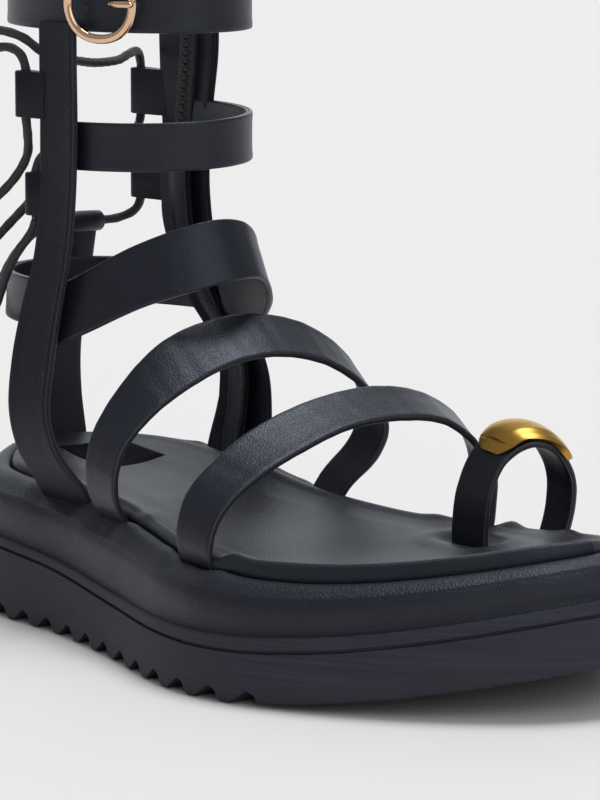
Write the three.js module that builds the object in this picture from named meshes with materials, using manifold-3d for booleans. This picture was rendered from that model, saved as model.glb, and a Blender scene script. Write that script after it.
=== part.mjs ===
// Gladiator sandal, right foot: chunky moulded platform with a leather-wrapped
// footbed, two foot straps, a toe ring with a metal cap, and an ankle cage of
// posts and half rings laced at the back, with a buckled top strap.
// Millimetres, +Z up, toe towards -Y, medial side towards +X.
import * as THREE from 'three';
import { mergeVertices } from 'three/addons/utils/BufferGeometryUtils.js';
import Module from 'manifold-3d';

const wasm = await Module();
wasm.setup();
const { Manifold, Mesh: ManifoldMesh } = wasm;

// ---- driving sizes -------------------------------------------------------
const SOLE = {
  length: 252,        // heel to toe tip on the outsole
  flatTo: 165,        // distance from the heel where the toe spring starts
  toeSpring: 13.8,    // lift of the toe tip
  stations: 25,       // sections along each side
  across: 4,          // panels across the caps
  centreShift: 3.0,   // brings the middle of the width onto x = 0
};
const BAND = { height: 3.4, toeGrowth: 0.9, grooveHeight: 0.9, grooveDepth: 1.0 };
const TEETH = { count: 13, first: 40.4, pitch: 12.36, depth: 4.2, lean: 0.62, mouth: 10.4 };
const GAP = 0.3;      // between pieces that meet
const LEATHER = 2.0;  // strap: two layers and a folded edge
const POST = 2.2;
const LACE = 2.6;     // round cord
const TUBE = { inner: 1.75, outer: 3.0 };

const COLOURS = {
  leather: [0x24262b, 0.48, 0.0],
  rubber: [0x202227, 0.62, 0.0],
  insole: [0x2b2d33, 0.5, 0.0],
  cord: [0x1b1c20, 0.8, 0.0],
  gold: [0xd9a93a, 0.16, 1.0],
  roseGold: [0xe2b48c, 0.2, 1.0],
  tape: [0x17181b, 0.85, 0.0],
};

// Outline of the sole, from the heel end round each side to the toe tip.
// from: distance from the heel, half: sideways distance from the centre line.
const LATERAL = [
  { from: 0, half: 0 }, { from: 4.3, half: 16.4 }, { from: 15, half: 30 }, { from: 29, half: 38.6 },
  { from: 46, half: 41.8 }, { from: 80, half: 43.8 }, { from: 113, half: 50.2 }, { from: 146, half: 58.8 },
  { from: 163, half: 60.4 }, { from: 180, half: 57.6 }, { from: 196, half: 51 }, { from: 210, half: 42.6 },
  { from: 224, half: 32 }, { from: 236, half: 20 }, { from: 246, half: 7 }, { from: 252, half: -11 },
];
const MEDIAL = [
  { from: 0, half: 0 }, { from: 4, half: 15 }, { from: 15, half: 28.5 }, { from: 30, half: 36 },
  { from: 50, half: 38.5 }, { from: 80, half: 37 }, { from: 105, half: 36 }, { from: 130, half: 42 },
  { from: 155, half: 50.5 }, { from: 175, half: 54 }, { from: 195, half: 54 }, { from: 215, half: 49.5 },
  { from: 232, half: 40 }, { from: 244, half: 28 }, { from: 250, half: 18 }, { from: 252, half: 11 },
];
// Heights above the sole's own underside, and how far the footbed's seam is
// inside the outline.
const LEVELS = [
  { from: 0, groove: 22.2, seam: 41.2, inset: 12.4 }, { from: 60, groove: 19.2, seam: 39.6, inset: 11.8 },
  { from: 110, groove: 15.2, seam: 36.8, inset: 10.6 }, { from: 160, groove: 13.8, seam: 33.4, inset: 10.0 },
  { from: 200, groove: 13.4, seam: 31, inset: 9.6 }, { from: 252, groove: 13.4, seam: 30.4, inset: 9.4 },
];
const ARCH = [
  { from: 0, rise: 1 }, { from: 20, rise: 1.2 }, { from: 50, rise: 3.8 }, { from: 90, rise: 3.6 }, { from: 120, rise: 0 },
  { from: 150, rise: -1 }, { from: 175, rise: 0.6 }, { from: 200, rise: 2 }, { from: 252, rise: 1.4 },
];

// ---- helpers ---------------------------------------------------------------
const V = (x, y, z) => new THREE.Vector3(x, y, z);
const yAt = (from) => SOLE.length / 2 - from;
const fromAt = (y) => SOLE.length / 2 - y;
const clamp = THREE.MathUtils.clamp;

function lookup(table, key, at) {
  const last = table.length - 1;
  if (at <= table[0].from) return table[0][key];
  if (at >= table[last].from) return table[last][key];
  let i = 0;
  while (table[i + 1].from < at) i++;
  const [a, b] = [table[i], table[i + 1]];
  const slope = (j) => {
    const [p, q] = [table[Math.max(j - 1, 0)], table[Math.min(j + 1, last)]];
    return (q[key] - p[key]) / (q.from - p.from);
  };
  const h = b.from - a.from;
  const t = (at - a.from) / h;
  const [t2, t3] = [t * t, t * t * t];
  return (2 * t3 - 3 * t2 + 1) * a[key] + (t3 - 2 * t2 + t) * h * slope(i)
    + (-2 * t3 + 3 * t2) * b[key] + (t3 - t2) * h * slope(i + 1);
}

// Underside of the sole: flat under heel and ball, rising to the toe tip.
function springAt(y) {
  const past = Math.max(fromAt(y) - SOLE.flatTo, 0) / (SOLE.length - SOLE.flatTo);
  return SOLE.toeSpring * past * past;
}
const level = (key, y) => lookup(LEVELS, key, clamp(fromAt(y), 0, SOLE.length)) + springAt(y);
// The footbed's arch side stands higher at the waist and again beside the toes.
function medialRise(x, y) {
  return lookup(ARCH, 'rise', clamp(fromAt(y), 0, SOLE.length)) * THREE.MathUtils.smoothstep(x, 4, 34);
}

function sidePoints(table, sign) {
  const curve = new THREE.CatmullRomCurve3(
    table.map((row) => V(sign * row.half, yAt(row.from), 0)), false, 'centripetal');
  return curve.getSpacedPoints(SOLE.stations);
}
// Closed outline, counter-clockwise from above: heel, medial... to toe, lateral back.
const LATERAL_SIDE = sidePoints(LATERAL, -1);
const MEDIAL_SIDE = sidePoints(MEDIAL, 1);
const OUTLINE = [...LATERAL_SIDE, ...MEDIAL_SIDE.slice(1, -1).reverse()];

function insetOutline(amount) {
  const n = OUTLINE.length;
  return OUTLINE.map((p, i) => {
    const tangent = V(0, 0, 0).subVectors(OUTLINE[(i + 1) % n], OUTLINE[(i + n - 1) % n]).normalize();
    const d = typeof amount === 'function' ? amount(p) : amount;
    return V(p.x - tangent.y * d, p.y + tangent.x * d, 0);
  });
}

class Builder {
  constructor() { this.points = []; this.faces = []; }
  add(p) { this.points.push(p.x, p.y, p.z); return this.points.length / 3 - 1; }
  quad(a, b, c, d) { this.faces.push(a, b, c, a, c, d); }
  tri(a, b, c) { this.faces.push(a, b, c); }
  geometry() {
    const g = new THREE.BufferGeometry();
    g.setAttribute('position', new THREE.Float32BufferAttribute(this.points, 3));
    g.setIndex(this.faces);
    return g;
  }
}

// A closed body from rings that follow the sole's outline, lowest ring first.
// The two caps are grids of panels between the two sides.
function ringBody(rings, bottomHeight, topHeight) {
  const b = new Builder();
  const n = OUTLINE.length;
  const toe = SOLE.stations;
  const ids = rings.map((ring) => ring.map((p) => b.add(p)));
  for (let r = 0; r + 1 < ids.length; r++) {
    for (let i = 0; i < n; i++) {
      const j = (i + 1) % n;
      b.quad(ids[r][i], ids[r][j], ids[r + 1][j], ids[r + 1][i]);
    }
  }
  const cap = (ring, idRow, height, up) => {
    let previous = null;
    for (let i = 1; i < toe; i++) {
      const [l, m] = [i, n - i];
      const row = [idRow[l]];
      for (let k = 1; k < SOLE.across; k++) {
        const t = k / SOLE.across;
        const p = ring[l].clone().lerp(ring[m], t);
        row.push(b.add(V(p.x, p.y, height(p.x, p.y, t, p.z))));
      }
      row.push(idRow[m]);
      const face = (a, c, d) => (up ? b.tri(a, c, d) : b.tri(a, d, c));
      for (let k = 0; k < SOLE.across; k++) {
        if (previous) {
          face(previous[k], row[k], row[k + 1]);
          face(previous[k], row[k + 1], previous[k + 1]);
        } else face(idRow[0], row[k], row[k + 1]);
        if (i === toe - 1) face(row[k], idRow[toe], row[k + 1]);
      }
      previous = row;
    }
  };
  cap(rings[0], ids[0], bottomHeight, false);
  cap(rings[rings.length - 1], ids[ids.length - 1], topHeight, true);
  return b.geometry();
}
const ring = (inset, height) => insetOutline(inset).map((p) => V(p.x, p.y, height(p.x, p.y)));

// Smooth curves through the two rails of a strap; rows name both rail points.
function railCurves(rows) {
  const rail = (i) => new THREE.CatmullRomCurve3(rows.map((r) => V(...r[i])), false, 'centripetal');
  return [rail(0), rail(1)];
}
// A leather band whose outside lies on two rails and faces away from `core`.
// grow adds clearance on every face, for cutting the slots it enters.
function band(rows, { steps = 20, thick = LEATHER, inner = -LEATHER, core, grow = 0, edge = 0.55 }) {
  const [railA, railB] = railCurves(rows);
  const b = new Builder();
  const sections = [];
  for (let i = 0; i <= steps; i++) {
    const t = i / steps;
    let [p, q] = [railA.getPoint(t), railB.getPoint(t)];
    const tangent = railA.getTangent(t).add(railB.getTangent(t)).normalize();
    const across = q.clone().sub(p);
    const width = across.length();
    across.normalize();
    const normal = tangent.clone().cross(across).normalize();
    const mid = p.clone().lerp(q, 0.5);
    if (normal.dot(mid.clone().sub(core(mid))) < 0) normal.negate();
    if (grow) {
      const push = i === 0 ? -grow : i === steps ? grow : 0;
      p = p.addScaledVector(tangent, push); q = q.addScaledVector(tangent, push);
    }
    const [lo, hi] = [inner - grow, inner + thick + grow];
    const [w0, w1] = [-grow, width + grow];
    const e = Math.min(edge, (hi - lo) * 0.3);
    const profile = [[w0 + e, lo], [w1 - e, lo], [w1, lo + e], [w1, hi - e],
      [w1 - e, hi], [w0 + e, hi], [w0, hi - e], [w0, lo + e]];
    sections.push(profile.map(([w, h]) => p.clone().addScaledVector(across, w).addScaledVector(normal, h)));
  }
  const ids = sections.map((s) => s.map((pt) => b.add(pt)));
  const m = ids[0].length;
  for (let i = 0; i < steps; i++) {
    for (let k = 0; k < m; k++) {
      const l = (k + 1) % m;
      b.quad(ids[i][k], ids[i][l], ids[i + 1][l], ids[i + 1][k]);
    }
  }
  for (let k = 1; k < m - 1; k++) {
    b.tri(ids[0][0], ids[0][k + 1], ids[0][k]);
    b.tri(ids[steps][0], ids[steps][k], ids[steps][k + 1]);
  }
  return outward(b.geometry());
}
// Turns a closed body's faces outwards if its volume comes out negative.
function outward(geometry) {
  const p = geometry.getAttribute('position');
  const index = geometry.getIndex();
  const at = (i) => V(p.getX(index.getX(i)), p.getY(index.getX(i)), p.getZ(index.getX(i)));
  let volume = 0;
  for (let i = 0; i < index.count; i += 3) volume += at(i).dot(at(i + 1).cross(at(i + 2)));
  if (volume < 0) {
    for (let i = 0; i < index.count; i += 3) {
      const [a, c] = [index.getX(i + 1), index.getX(i + 2)];
      index.setX(i + 1, c); index.setX(i + 2, a);
    }
  }
  return geometry;
}

function solid(geometry) {
  let g = geometry.clone();
  g.deleteAttribute('normal'); g.deleteAttribute('uv');
  g = outward(mergeVertices(g, 1e-4));
  return new Manifold(new ManifoldMesh({
    numProp: 3,
    vertProperties: new Float32Array(g.getAttribute('position').array),
    triVerts: new Uint32Array(g.getIndex().array),
  }));
}
function geometryOf(manifold) {
  const mesh = manifold.getMesh();
  const g = new THREE.BufferGeometry();
  g.setAttribute('position', new THREE.Float32BufferAttribute(mesh.vertProperties, 3));
  g.setIndex([...mesh.triVerts]);
  return g;
}
const union = (list) => list.map(solid).reduce((a, c) => a.add(c));
// What is left of a body after the cuts, without any loose sliver.
function cut(body, tools) {
  const parts = tools.reduce((a, t) => a.subtract(solid(t)), body).decompose();
  return parts.reduce((a, c) => (c.volume() > a.volume() ? c : a));
}

// Round cord or wire along a curve.
function cord(points, diameter, steps, sides = 8) {
  const curve = new THREE.CatmullRomCurve3(points.map((p) => V(...p)), false, 'centripetal');
  const shape = new THREE.Shape();
  for (let i = 0; i < sides; i++) {
    const a = (2 * Math.PI * i) / sides;
    const [x, y] = [Math.cos(a) * diameter / 2, Math.sin(a) * diameter / 2];
    if (i === 0) shape.moveTo(x, y); else shape.lineTo(x, y);
  }
  shape.closePath();
  return mergeVertices(stripped(new THREE.ExtrudeGeometry(shape, { steps, extrudePath: curve, curveSegments: 1 })), 1e-4);
}
function stripped(g) { g.deleteAttribute('normal'); g.deleteAttribute('uv'); return g; }

// Closed wire loop, such as a buckle's frame.
function wireLoop(pathAt, radius, steps, sides, squash = 1) {
  const b = new Builder();
  const ids = [];
  for (let i = 0; i < steps; i++) {
    const here = pathAt(i / steps);
    const along = pathAt((i + 0.5) / steps).clone().sub(pathAt((i - 0.5) / steps)).normalize();
    const out = here.clone().sub(pathAt.centre).normalize();
    const side = along.clone().cross(out).normalize();
    const u = side.clone().cross(along).normalize();
    ids.push(Array.from({ length: sides }, (_, k) => {
      const a = (2 * Math.PI * k) / sides;
      return b.add(here.clone().addScaledVector(u, Math.cos(a) * radius)
        .addScaledVector(side, Math.sin(a) * radius * squash));
    }));
  }
  for (let i = 0; i < steps; i++) {
    const next = ids[(i + 1) % steps];
    for (let k = 0; k < sides; k++) {
      const l = (k + 1) % sides;
      b.quad(ids[i][k], ids[i][l], next[l], next[k]);
    }
  }
  return outward(b.geometry());
}
// Folded leather tunnel: a tube of the lace's clearance round the given axis.
function tunnel(centre, length, axis, sides = 10) {
  const h = length / 2;
  const profile = [[TUBE.inner, -h], [TUBE.outer, -h], [TUBE.outer, h], [TUBE.inner, h], [TUBE.inner, -h]];
  const g = stripped(new THREE.LatheGeometry(profile.map(([x, y]) => new THREE.Vector2(x, y)), sides));
  g.applyQuaternion(new THREE.Quaternion().setFromUnitVectors(V(0, 1, 0), V(...axis).normalize()));
  g.translate(...centre);
  return g;
}

// ---- sole -------------------------------------------------------------------
const fromHeel = (y) => SOLE.length / 2 - y;
const bandTop = (x, y) => level('groove', y) + BAND.height + BAND.toeGrowth * THREE.MathUtils.smoothstep(fromHeel(y), 60, 190);
// How far the insole board stands above the seam.
const boardRise = (y) => 1.1 + 1.1 * THREE.MathUtils.smoothstep(fromHeel(y), 40, 185);
function outsoleBody() {
  const under = (x, y) => springAt(y);
  const wall = (share) => (x, y) => springAt(y) + (level('groove', y) - springAt(y)) * share;
  const grooveTop = (x, y) => level('groove', y) + BAND.grooveHeight;
  const rings = [
    ring(1.6, under), ring(0, (x, y) => springAt(y) + 1.6), ring(-0.2, wall(0.6)), ring(0, (x, y) => level('groove', y)),
    ring(BAND.grooveDepth, (x, y) => level('groove', y) + 0.1), ring(BAND.grooveDepth, grooveTop),
    ring(0.1, (x, y) => grooveTop(x, y) + 0.1), ring(0.2, (x, y) => bandTop(x, y) - 0.5), ring(0.8, bandTop),
  ];
  return ringBody(rings, under, bandTop);
}
// One shark-fin notch across the sole: steep on its toe side, sloping on its heel side.
function notch(from) {
  const shape = new THREE.Shape();
  const half = TEETH.mouth / 2;
  const crest = TEETH.mouth * (TEETH.lean - 0.5);
  shape.moveTo(-half, -2);
  shape.lineTo(half, -2);
  shape.lineTo(half, 0);
  shape.quadraticCurveTo(half - 1.4, TEETH.depth * 0.85, crest + 0.6, TEETH.depth);
  shape.lineTo(crest - 0.7, TEETH.depth);
  shape.quadraticCurveTo(crest - 2.4, TEETH.depth * 0.55, -half, 0);
  const g = new THREE.ExtrudeGeometry(shape, { depth: 150, bevelEnabled: false, curveSegments: 3 });
  g.rotateX(Math.PI / 2);
  g.rotateZ(-Math.PI / 2);
  g.translate(75, yAt(from), 0);
  return stripped(g);
}

// ---- footbed ------------------------------------------------------------------
// The rim and insole climb towards the back of the heel.
const heelCup = (x, y) =>
  3.4 * (1 - THREE.MathUtils.smoothstep(fromHeel(y), 2, 58)) * THREE.MathUtils.smoothstep(x, -34, -8);
const seamLevel = (x, y) => level('seam', y) + medialRise(x, y) + heelCup(x, y);
const seamInset = (p) => lookup(LEVELS, 'inset', clamp(fromAt(p.y), 0, SOLE.length));
const INSOLE_THICK = 4.2;
function padBody() {
  const base = (x, y) => bandTop(x, y) + GAP;
  const between = (share) => (x, y) => base(x, y) + (seamLevel(x, y) - base(x, y)) * share;
  const inset = (share, plus = 0) => (p) => seamInset(p) * share + plus;
  const floor = (x, y) => seamLevel(x, y) - INSOLE_THICK;
  const rings = [
    ring(3.2, base), ring(1.9, between(0.14)), ring(1.1, between(0.42)), ring(1.9, between(0.68)),
    ring(inset(0.36), between(0.88)), ring(inset(0.62), between(0.98)), ring(inset(0.86), between(0.97)),
    ring(inset(1, -0.2), between(0.92)), ring(inset(1), floor),
  ];
  return ringBody(rings, base, floor);
}
// Extra height of the board's edge round the outer forefoot and toe.
const boardLip = (x, y) =>
  2.2 * THREE.MathUtils.smoothstep(fromHeel(y), 135, 195) * (1 - THREE.MathUtils.smoothstep(x, -5, 34));
// How hollow the insole is: nearly flat under the heel.
const crown = (y) => 0.35 + 0.65 * THREE.MathUtils.smoothstep(fromHeel(y), 40, 120);
function insoleBody() {
  const under = (x, y) => seamLevel(x, y) - INSOLE_THICK + GAP;
  const top = (drop, lip) => (x, y) => seamLevel(x, y) + boardRise(y) + boardLip(x, y) * lip - drop;
  const inset = (plus) => (p) => seamInset(p) + plus;
  const dished = (x, y, t, edge) => edge - 1.1 * crown(y) * Math.sin(Math.PI * t);
  const rings = [
    ring(inset(1.0), under), ring(inset(GAP), (x, y) => under(x, y) + 0.8), ring(inset(GAP), top(1.2, 1)),
    ring(inset(1.3), top(0, 1)), ring(inset(3.0), top(0, 1)), ring(inset(4.6), (x, y) => top(0.9 * crown(y), 0.9)(x, y)),
    ring(inset(9), (x, y) => top(1.6 * crown(y), 0.4)(x, y)),
  ];
  return ringBody(rings, (x, y, t, z) => under(x, y), dished);
}

// ---- straps -------------------------------------------------------------------
const footCore = (y0, z0) => () => V(0, y0, z0);
// rear rail, front rail, from the lateral slot over the foot to the medial slot
const FRONT_STRAP = [
  [[-49.6, -21, 29], [-49.6, -35, 28]], [[-51.8, -21, 40], [-51.4, -35, 37]], [[-48.4, -21.2, 50.5], [-47.6, -35.2, 46.4]],
  [[-38.8, -21.7, 59], [-36, -35.8, 55.2]], [[-26, -22.5, 66.4], [-20, -36.6, 62]], [[-8, -23.8, 72.2], [-5, -37.5, 66.6]],
  [[12, -25.2, 74.2], [12, -38.6, 67.4]], [[28, -26.3, 71], [27, -39.2, 64.8]], [[39.5, -27, 63.6], [37.5, -39.8, 57.2]],
  [[45, -27.5, 53.5], [43, -40.3, 49]], [[44.5, -27.6, 42], [42.8, -40.6, 39.5]], [[41, -27.6, 29.5], [41, -40.6, 28.5]],
];
const INSTEP_STRAP = [
  [[-36.5, 33, 31.5], [-38, 19, 31]], [[-42.8, 33.4, 44], [-43.6, 19.2, 42.5]], [[-41.8, 33.2, 57], [-41.6, 19, 54.6]],
  [[-33, 32.3, 70.5], [-33.4, 18, 63.8]], [[-19.5, 30.3, 82.6], [-20.4, 16.1, 72]], [[-4, 28, 88], [-4.6, 13.7, 78.2]],
  [[12, 25.2, 88.6], [11, 11.4, 79]], [[26, 21.8, 84.4], [26, 8.6, 74.6]], [[37, 18, 75], [36, 5, 66]],
  [[40.6, 15.6, 63], [39.8, 2.8, 56]], [[37.4, 16.4, 51.5], [36.2, 3.4, 47.5]], [[30.4, 19.4, 42.5], [29.4, 6.2, 40.2]], [[25, 22, 33], [24.6, 8.6, 32.4]],
];
const RING_STRAP = [
  [[24, -44, 27], [24, -57.5, 27]], [[23.6, -44, 36], [23.8, -57.5, 36]], [[24.6, -45, 48], [24.7, -58.5, 48]],
  [[29, -47, 58.5], [28.8, -60.5, 57]], [[36.4, -50, 63.6], [36.6, -63.5, 61.2]], [[43.8, -53, 61.6], [44.2, -65, 58.6]],
  [[48.6, -55.4, 53], [48.6, -66.6, 51]], [[48.8, -55.8, 42.5], [48.8, -66.6, 42.5]], [[45.6, -55, 29.5], [45.6, -65.6, 30]],
];

// Ankle rings follow ellipses round the leg. turn: degrees from the front,
// lateral side negative; low and high: the band's edges; mid, long, wide: the ellipse.
const ellipsePoint = (turn, mid, long, wide, z) => {
  const a = THREE.MathUtils.degToRad(turn);
  return [wide * Math.sin(a), mid - long * Math.cos(a), z];
};
function ringRows(table) {
  return table.map((r) => [
    ellipsePoint(r.turn, r.midHigh ?? 72.4, r.longHigh ?? 43.4, r.wideHigh ?? 29.6, r.high),
    ellipsePoint(r.turn, r.midLow ?? 72.4, r.longLow ?? 43.4, r.wideLow ?? 29.6, r.low),
  ]);
}
const legCore = (mid) => V(0, clamp(mid.y, 58, 86), mid.z);
const flare = { midHigh: 69.6, longHigh: 42.2, wideHigh: 29.4, midLow: 65.2, longLow: 44.8, wideLow: 31.2 };
const ANKLE_STRAP = Array.from({ length: 25 }, (_, i) => ({ turn: -180 + i * 15, high: 182, low: 167.2 }));
const UPPER_HALF_RING = Array.from({ length: 13 }, (_, i) => {
  const turn = -84 + i * 15.5;
  const lift = 1.2 * Math.sin(THREE.MathUtils.degToRad(turn));
  return { turn, high: 143.2 + lift, low: 129.6 + lift };
});
const lowerRingEdge = [
  { from: -96, high: 92, low: 76 }, { from: -74, high: 98.5, low: 82.4 }, { from: -47, high: 108.4, low: 92 },
  { from: -21, high: 114.2, low: 97.2 }, { from: 0, high: 115.8, low: 99.4 }, { from: 21, high: 113.6, low: 98.4 },
  { from: 47, high: 106, low: 89.5 }, { from: 74, high: 97.5, low: 80.5 }, { from: 92, high: 93, low: 78 },
];
const LOWER_HALF_RING = Array.from({ length: 15 }, (_, i) => {
  const turn = -92 + i * 12.9;
  const outward = THREE.MathUtils.smoothstep(-turn, 40, 90);
  return { turn, high: lookup(lowerRingEdge, 'high', turn), low: lookup(lowerRingEdge, 'low', turn), ...flare,
    wideLow: flare.wideLow + 5.5 * outward, wideHigh: flare.wideHigh + 2.5 * outward };
});
const HEEL_BAND = Array.from({ length: 13 }, (_, i) => {
  const turn = 78 + i * 17;
  return { turn, high: 96.6, low: 83, midHigh: 71.5, longHigh: 45, wideHigh: 31, midLow: 71, longLow: 46, wideLow: 31.6 };
});
// Posts: front edge, rear edge and the zip's centre line, from the footbed to the top strap.
const LATERAL_POST = [
  { x: -31.5, z: 32, front: 42, rear: 63.5 }, { x: -36.8, z: 41.5, front: 42.5, rear: 65 }, { x: -41, z: 51, front: 48.4, rear: 68 },
  { x: -41.6, z: 61, front: 52.6, rear: 71 }, { x: -39.2, z: 74, front: 54.2, rear: 73 }, { x: -35.6, z: 88, front: 55.6, rear: 73.5 },
  { x: -32.4, z: 104, front: 55.4, rear: 71.2 }, { x: -30.6, z: 120, front: 55.2, rear: 71 }, { x: -29.8, z: 140, front: 55.2, rear: 71.4 },
  { x: -29.6, z: 158, front: 55.6, rear: 71.8 }, { x: -29.6, z: 169.5, front: 55.6, rear: 71.8 },
];
const MEDIAL_POST = [
  { x: 28.2, z: 33, front: 46, rear: 75, zip: 62 }, { x: 31.8, z: 44, front: 48.5, rear: 76.5, zip: 63.5 }, { x: 33.6, z: 55, front: 50, rear: 74.5, zip: 63.5 },
  { x: 33.8, z: 66, front: 51.5, rear: 72, zip: 63 }, { x: 33.2, z: 76, front: 56, rear: 74.5, zip: 66 }, { x: 32, z: 88, front: 65, rear: 85, zip: 76 },
  { x: 30.8, z: 100, front: 72, rear: 93.5, zip: 83.4 }, { x: 30, z: 118, front: 75, rear: 95, zip: 86 }, { x: 29.2, z: 140, front: 72.5, rear: 95.5, zip: 83.4 },
  { x: 28.8, z: 158, front: 69, rear: 96, zip: 80.6 }, { x: 28.6, z: 169.5, front: 68.5, rear: 96, zip: 80 },
];
const postRows = (table) => table.map((r) => [[r.x, r.rear, r.z], [r.x, r.front, r.z]]);
// Slot for the zip in the medial post, between its two leather strips.
const ZIP = { width: 6.4, thick: 1.4 };
function zipRows(table, widthwise) {
  return table.map((r) => [[r.x, r.zip + widthwise / 2, r.z], [r.x, r.zip - widthwise / 2, r.z]]);
}
const HEEL_STRAP = [
  [[-6, 109.5, 33.5], [11, 109.5, 33.5]], [[-5.4, 112.2, 45], [11.4, 112.2, 45]], [[-4.4, 114.6, 56], [11.6, 114.6, 56]],
  [[-1.6, 115.8, 68], [12.2, 115.8, 68]], [[1, 116.2, 80], [14, 116.2, 80]], [[3, 116, 94], [16.6, 116, 94]],
  [[4.4, 115.4, 104.6], [18, 115.4, 104.6]],
];
const heelCore = (mid) => V(0, 80, mid.z);
const TAB = { lateralHigh: { x: -30.6, y: 79.5, z: [142.2, 155.2] }, lateralLow: { x: -30.6, y: 74.9, z: [114.8, 126.8] },
  medialHigh: { x: 28.6, y: 107, z: [138.4, 151.8] }, medialLow: { x: 28.8, y: 107.5, z: [113.5, 122] } };
const HEEL_TUNNEL = { centre: [11.2, 114.2, 106.6], length: 14.4 };

function tabPlate(tab, edgeY) {
  const inside = tab.y - TUBE.inner - 0.45;
  const x = tab.x;
  const rows = [[[x, edgeY, tab.z[1]], [x, edgeY, tab.z[0]]], [[x, (edgeY + inside) / 2, tab.z[1]], [x, (edgeY + inside) / 2, tab.z[0]]],
    [[x, inside, tab.z[1]], [x, inside, tab.z[0]]]];
  return band(rows, { steps: 2, thick: 1.7, inner: -0.85, core: () => V(0, 80, 130) });
}
const tabTube = (tab) => tunnel([tab.x, tab.y, (tab.z[0] + tab.z[1]) / 2], tab.z[1] - tab.z[0], [0, 0, 1]);

function ankleCage() {
  const pieces = [
    band(postRows(LATERAL_POST), { steps: 14, thick: POST, inner: -0.4, core: legCore }),
    band(postRows(MEDIAL_POST), { steps: 15, thick: POST, inner: -2.6, core: legCore }),
    band(ringRows(UPPER_HALF_RING), { steps: 14, thick: LEATHER, core: legCore }),
    band(ringRows(LOWER_HALF_RING), { steps: 15, thick: LEATHER, core: legCore }),
    band(ringRows(HEEL_BAND), { steps: 14, thick: LEATHER, core: legCore }),
    band(HEEL_STRAP, { steps: 9, thick: LEATHER, inner: -0.9, core: heelCore }),
    tunnel(HEEL_TUNNEL.centre, HEEL_TUNNEL.length, [1, 0, 0]),
    tabTube(TAB.lateralHigh), tabPlate(TAB.lateralHigh, 69),
    tabTube(TAB.lateralLow), tabPlate(TAB.lateralLow, 69),
    tabTube(TAB.medialHigh), tabPlate(TAB.medialHigh, 93),
    tabTube(TAB.medialLow), tabPlate(TAB.medialLow, 92),
    band(ringRows(ANKLE_STRAP.slice(0, -1)).concat(ringRows([ANKLE_STRAP[24]])),
      { steps: 28, thick: LEATHER, core: legCore }),
  ];
  return union(pieces);
}
const SLOT_TOOLS = (grow) => [
  band(FRONT_STRAP, { steps: 22, core: footCore(-28, 30), grow }),
  band(INSTEP_STRAP, { steps: 22, core: footCore(18, 34), grow }),
  band(RING_STRAP, { steps: 18, core: () => V(36.5, -55, 40), grow }),
];
const POST_SLOTS = (grow) => [
  band(postRows(LATERAL_POST.slice(0, 4)), { steps: 6, thick: POST, inner: -0.4, core: legCore, grow }),
  band(postRows(MEDIAL_POST.slice(0, 4)), { steps: 6, thick: POST, inner: -2.6, core: legCore, grow }),
  band(HEEL_STRAP.slice(0, 3), { steps: 4, thick: LEATHER, inner: -0.9, core: heelCore, grow }),
];

// ---- metal ---------------------------------------------------------------------
// Cap over the crown of the toe ring: a crescent shell that narrows to its ends.
const CAP_ROWS = [
  [[28.6, -51, 58.2], [29.2, -57, 57.2]], [[30.2, -48.4, 60.4], [30.6, -60.8, 58.9]], [[33.4, -48, 63], [34, -62.8, 61.2]],
  [[37, -49.4, 64.2], [37.6, -64.6, 61.7]], [[40.8, -51.4, 64], [41.4, -66, 60.7]], [[44.4, -54, 62.1], [44.8, -66.6, 58.3]],
  [[47.2, -57.4, 58.6], [47.4, -65, 56.4]], [[47.8, -60.4, 55.4], [47.9, -63.2, 54.8]],
];
function capBody() {
  const core = () => V(36.5, -56, 42);
  return band(CAP_ROWS, { steps: 18, thick: 2.2, inner: GAP, core, edge: 0.9 });
}
const BUCKLE = { turn: -56, z: 175.4, halfWide: 10.2, halfTall: 9.8, wire: 1.3, stand: 3.6 };
function buckleFrame() {
  const a = THREE.MathUtils.degToRad(BUCKLE.turn);
  const foot = V(...ellipsePoint(BUCKLE.turn, 72.4, 43.4, 29.6, BUCKLE.z));
  const out = V(Math.sin(a) / 29.6, -Math.cos(a) / 43.4, 0).normalize();
  const side = V(-out.y, out.x, 0); // towards the front
  const centre = foot.clone().addScaledVector(out, BUCKLE.stand);
  const path = (t) => {
    const w = 2 * Math.PI * t;
    const [c, s] = [Math.cos(w), Math.sin(w)];
    const square = Math.abs(c) ** 0.86;
    return centre.clone().addScaledVector(side, Math.sign(c) * square * BUCKLE.halfWide)
      .addScaledVector(V(0, 0, 1), s * BUCKLE.halfTall);
  };
  path.centre = centre;
  return { frame: wireLoop(path, BUCKLE.wire, 30, 8), centre, out, side };
}

// ---- laces ---------------------------------------------------------------------
// One round lace, in the runs that the tabs and the tunnel hold in place...
const LACE_TOP = [
  [-21, 77.5, 157.8], [-10.6, 83.7, 156.8], [0, 90, 155.4], [9, 95.2, 155], [16, 99.4, 155.2], [22, 103.2, 156.4],
  [26.8, 106, 156.6], [28.6, 107, 153.2], [28.6, 107, 149], [28.6, 107, 144], [28.6, 107, 138.4], [27, 106, 135.2], [22, 102.6, 134.2],
  [14, 97.6, 133.6], [4, 92, 132.2], [-8, 86, 131.6], [-20, 79.4, 132], [-27.8, 75.8, 131], [-30.6, 74.9, 127],
  [-30.6, 74.9, 120], [-30.6, 74.9, 113.8],
];
const LACE_LOW = [
  [3, 114.2, 106.6], [11.2, 114.2, 106.6], [19.4, 114.2, 106.6], [24.6, 112.6, 107.2], [28, 109.4, 109.6],
  [28.8, 107.5, 113.6], [28.8, 107.5, 122.6],
];
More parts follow.
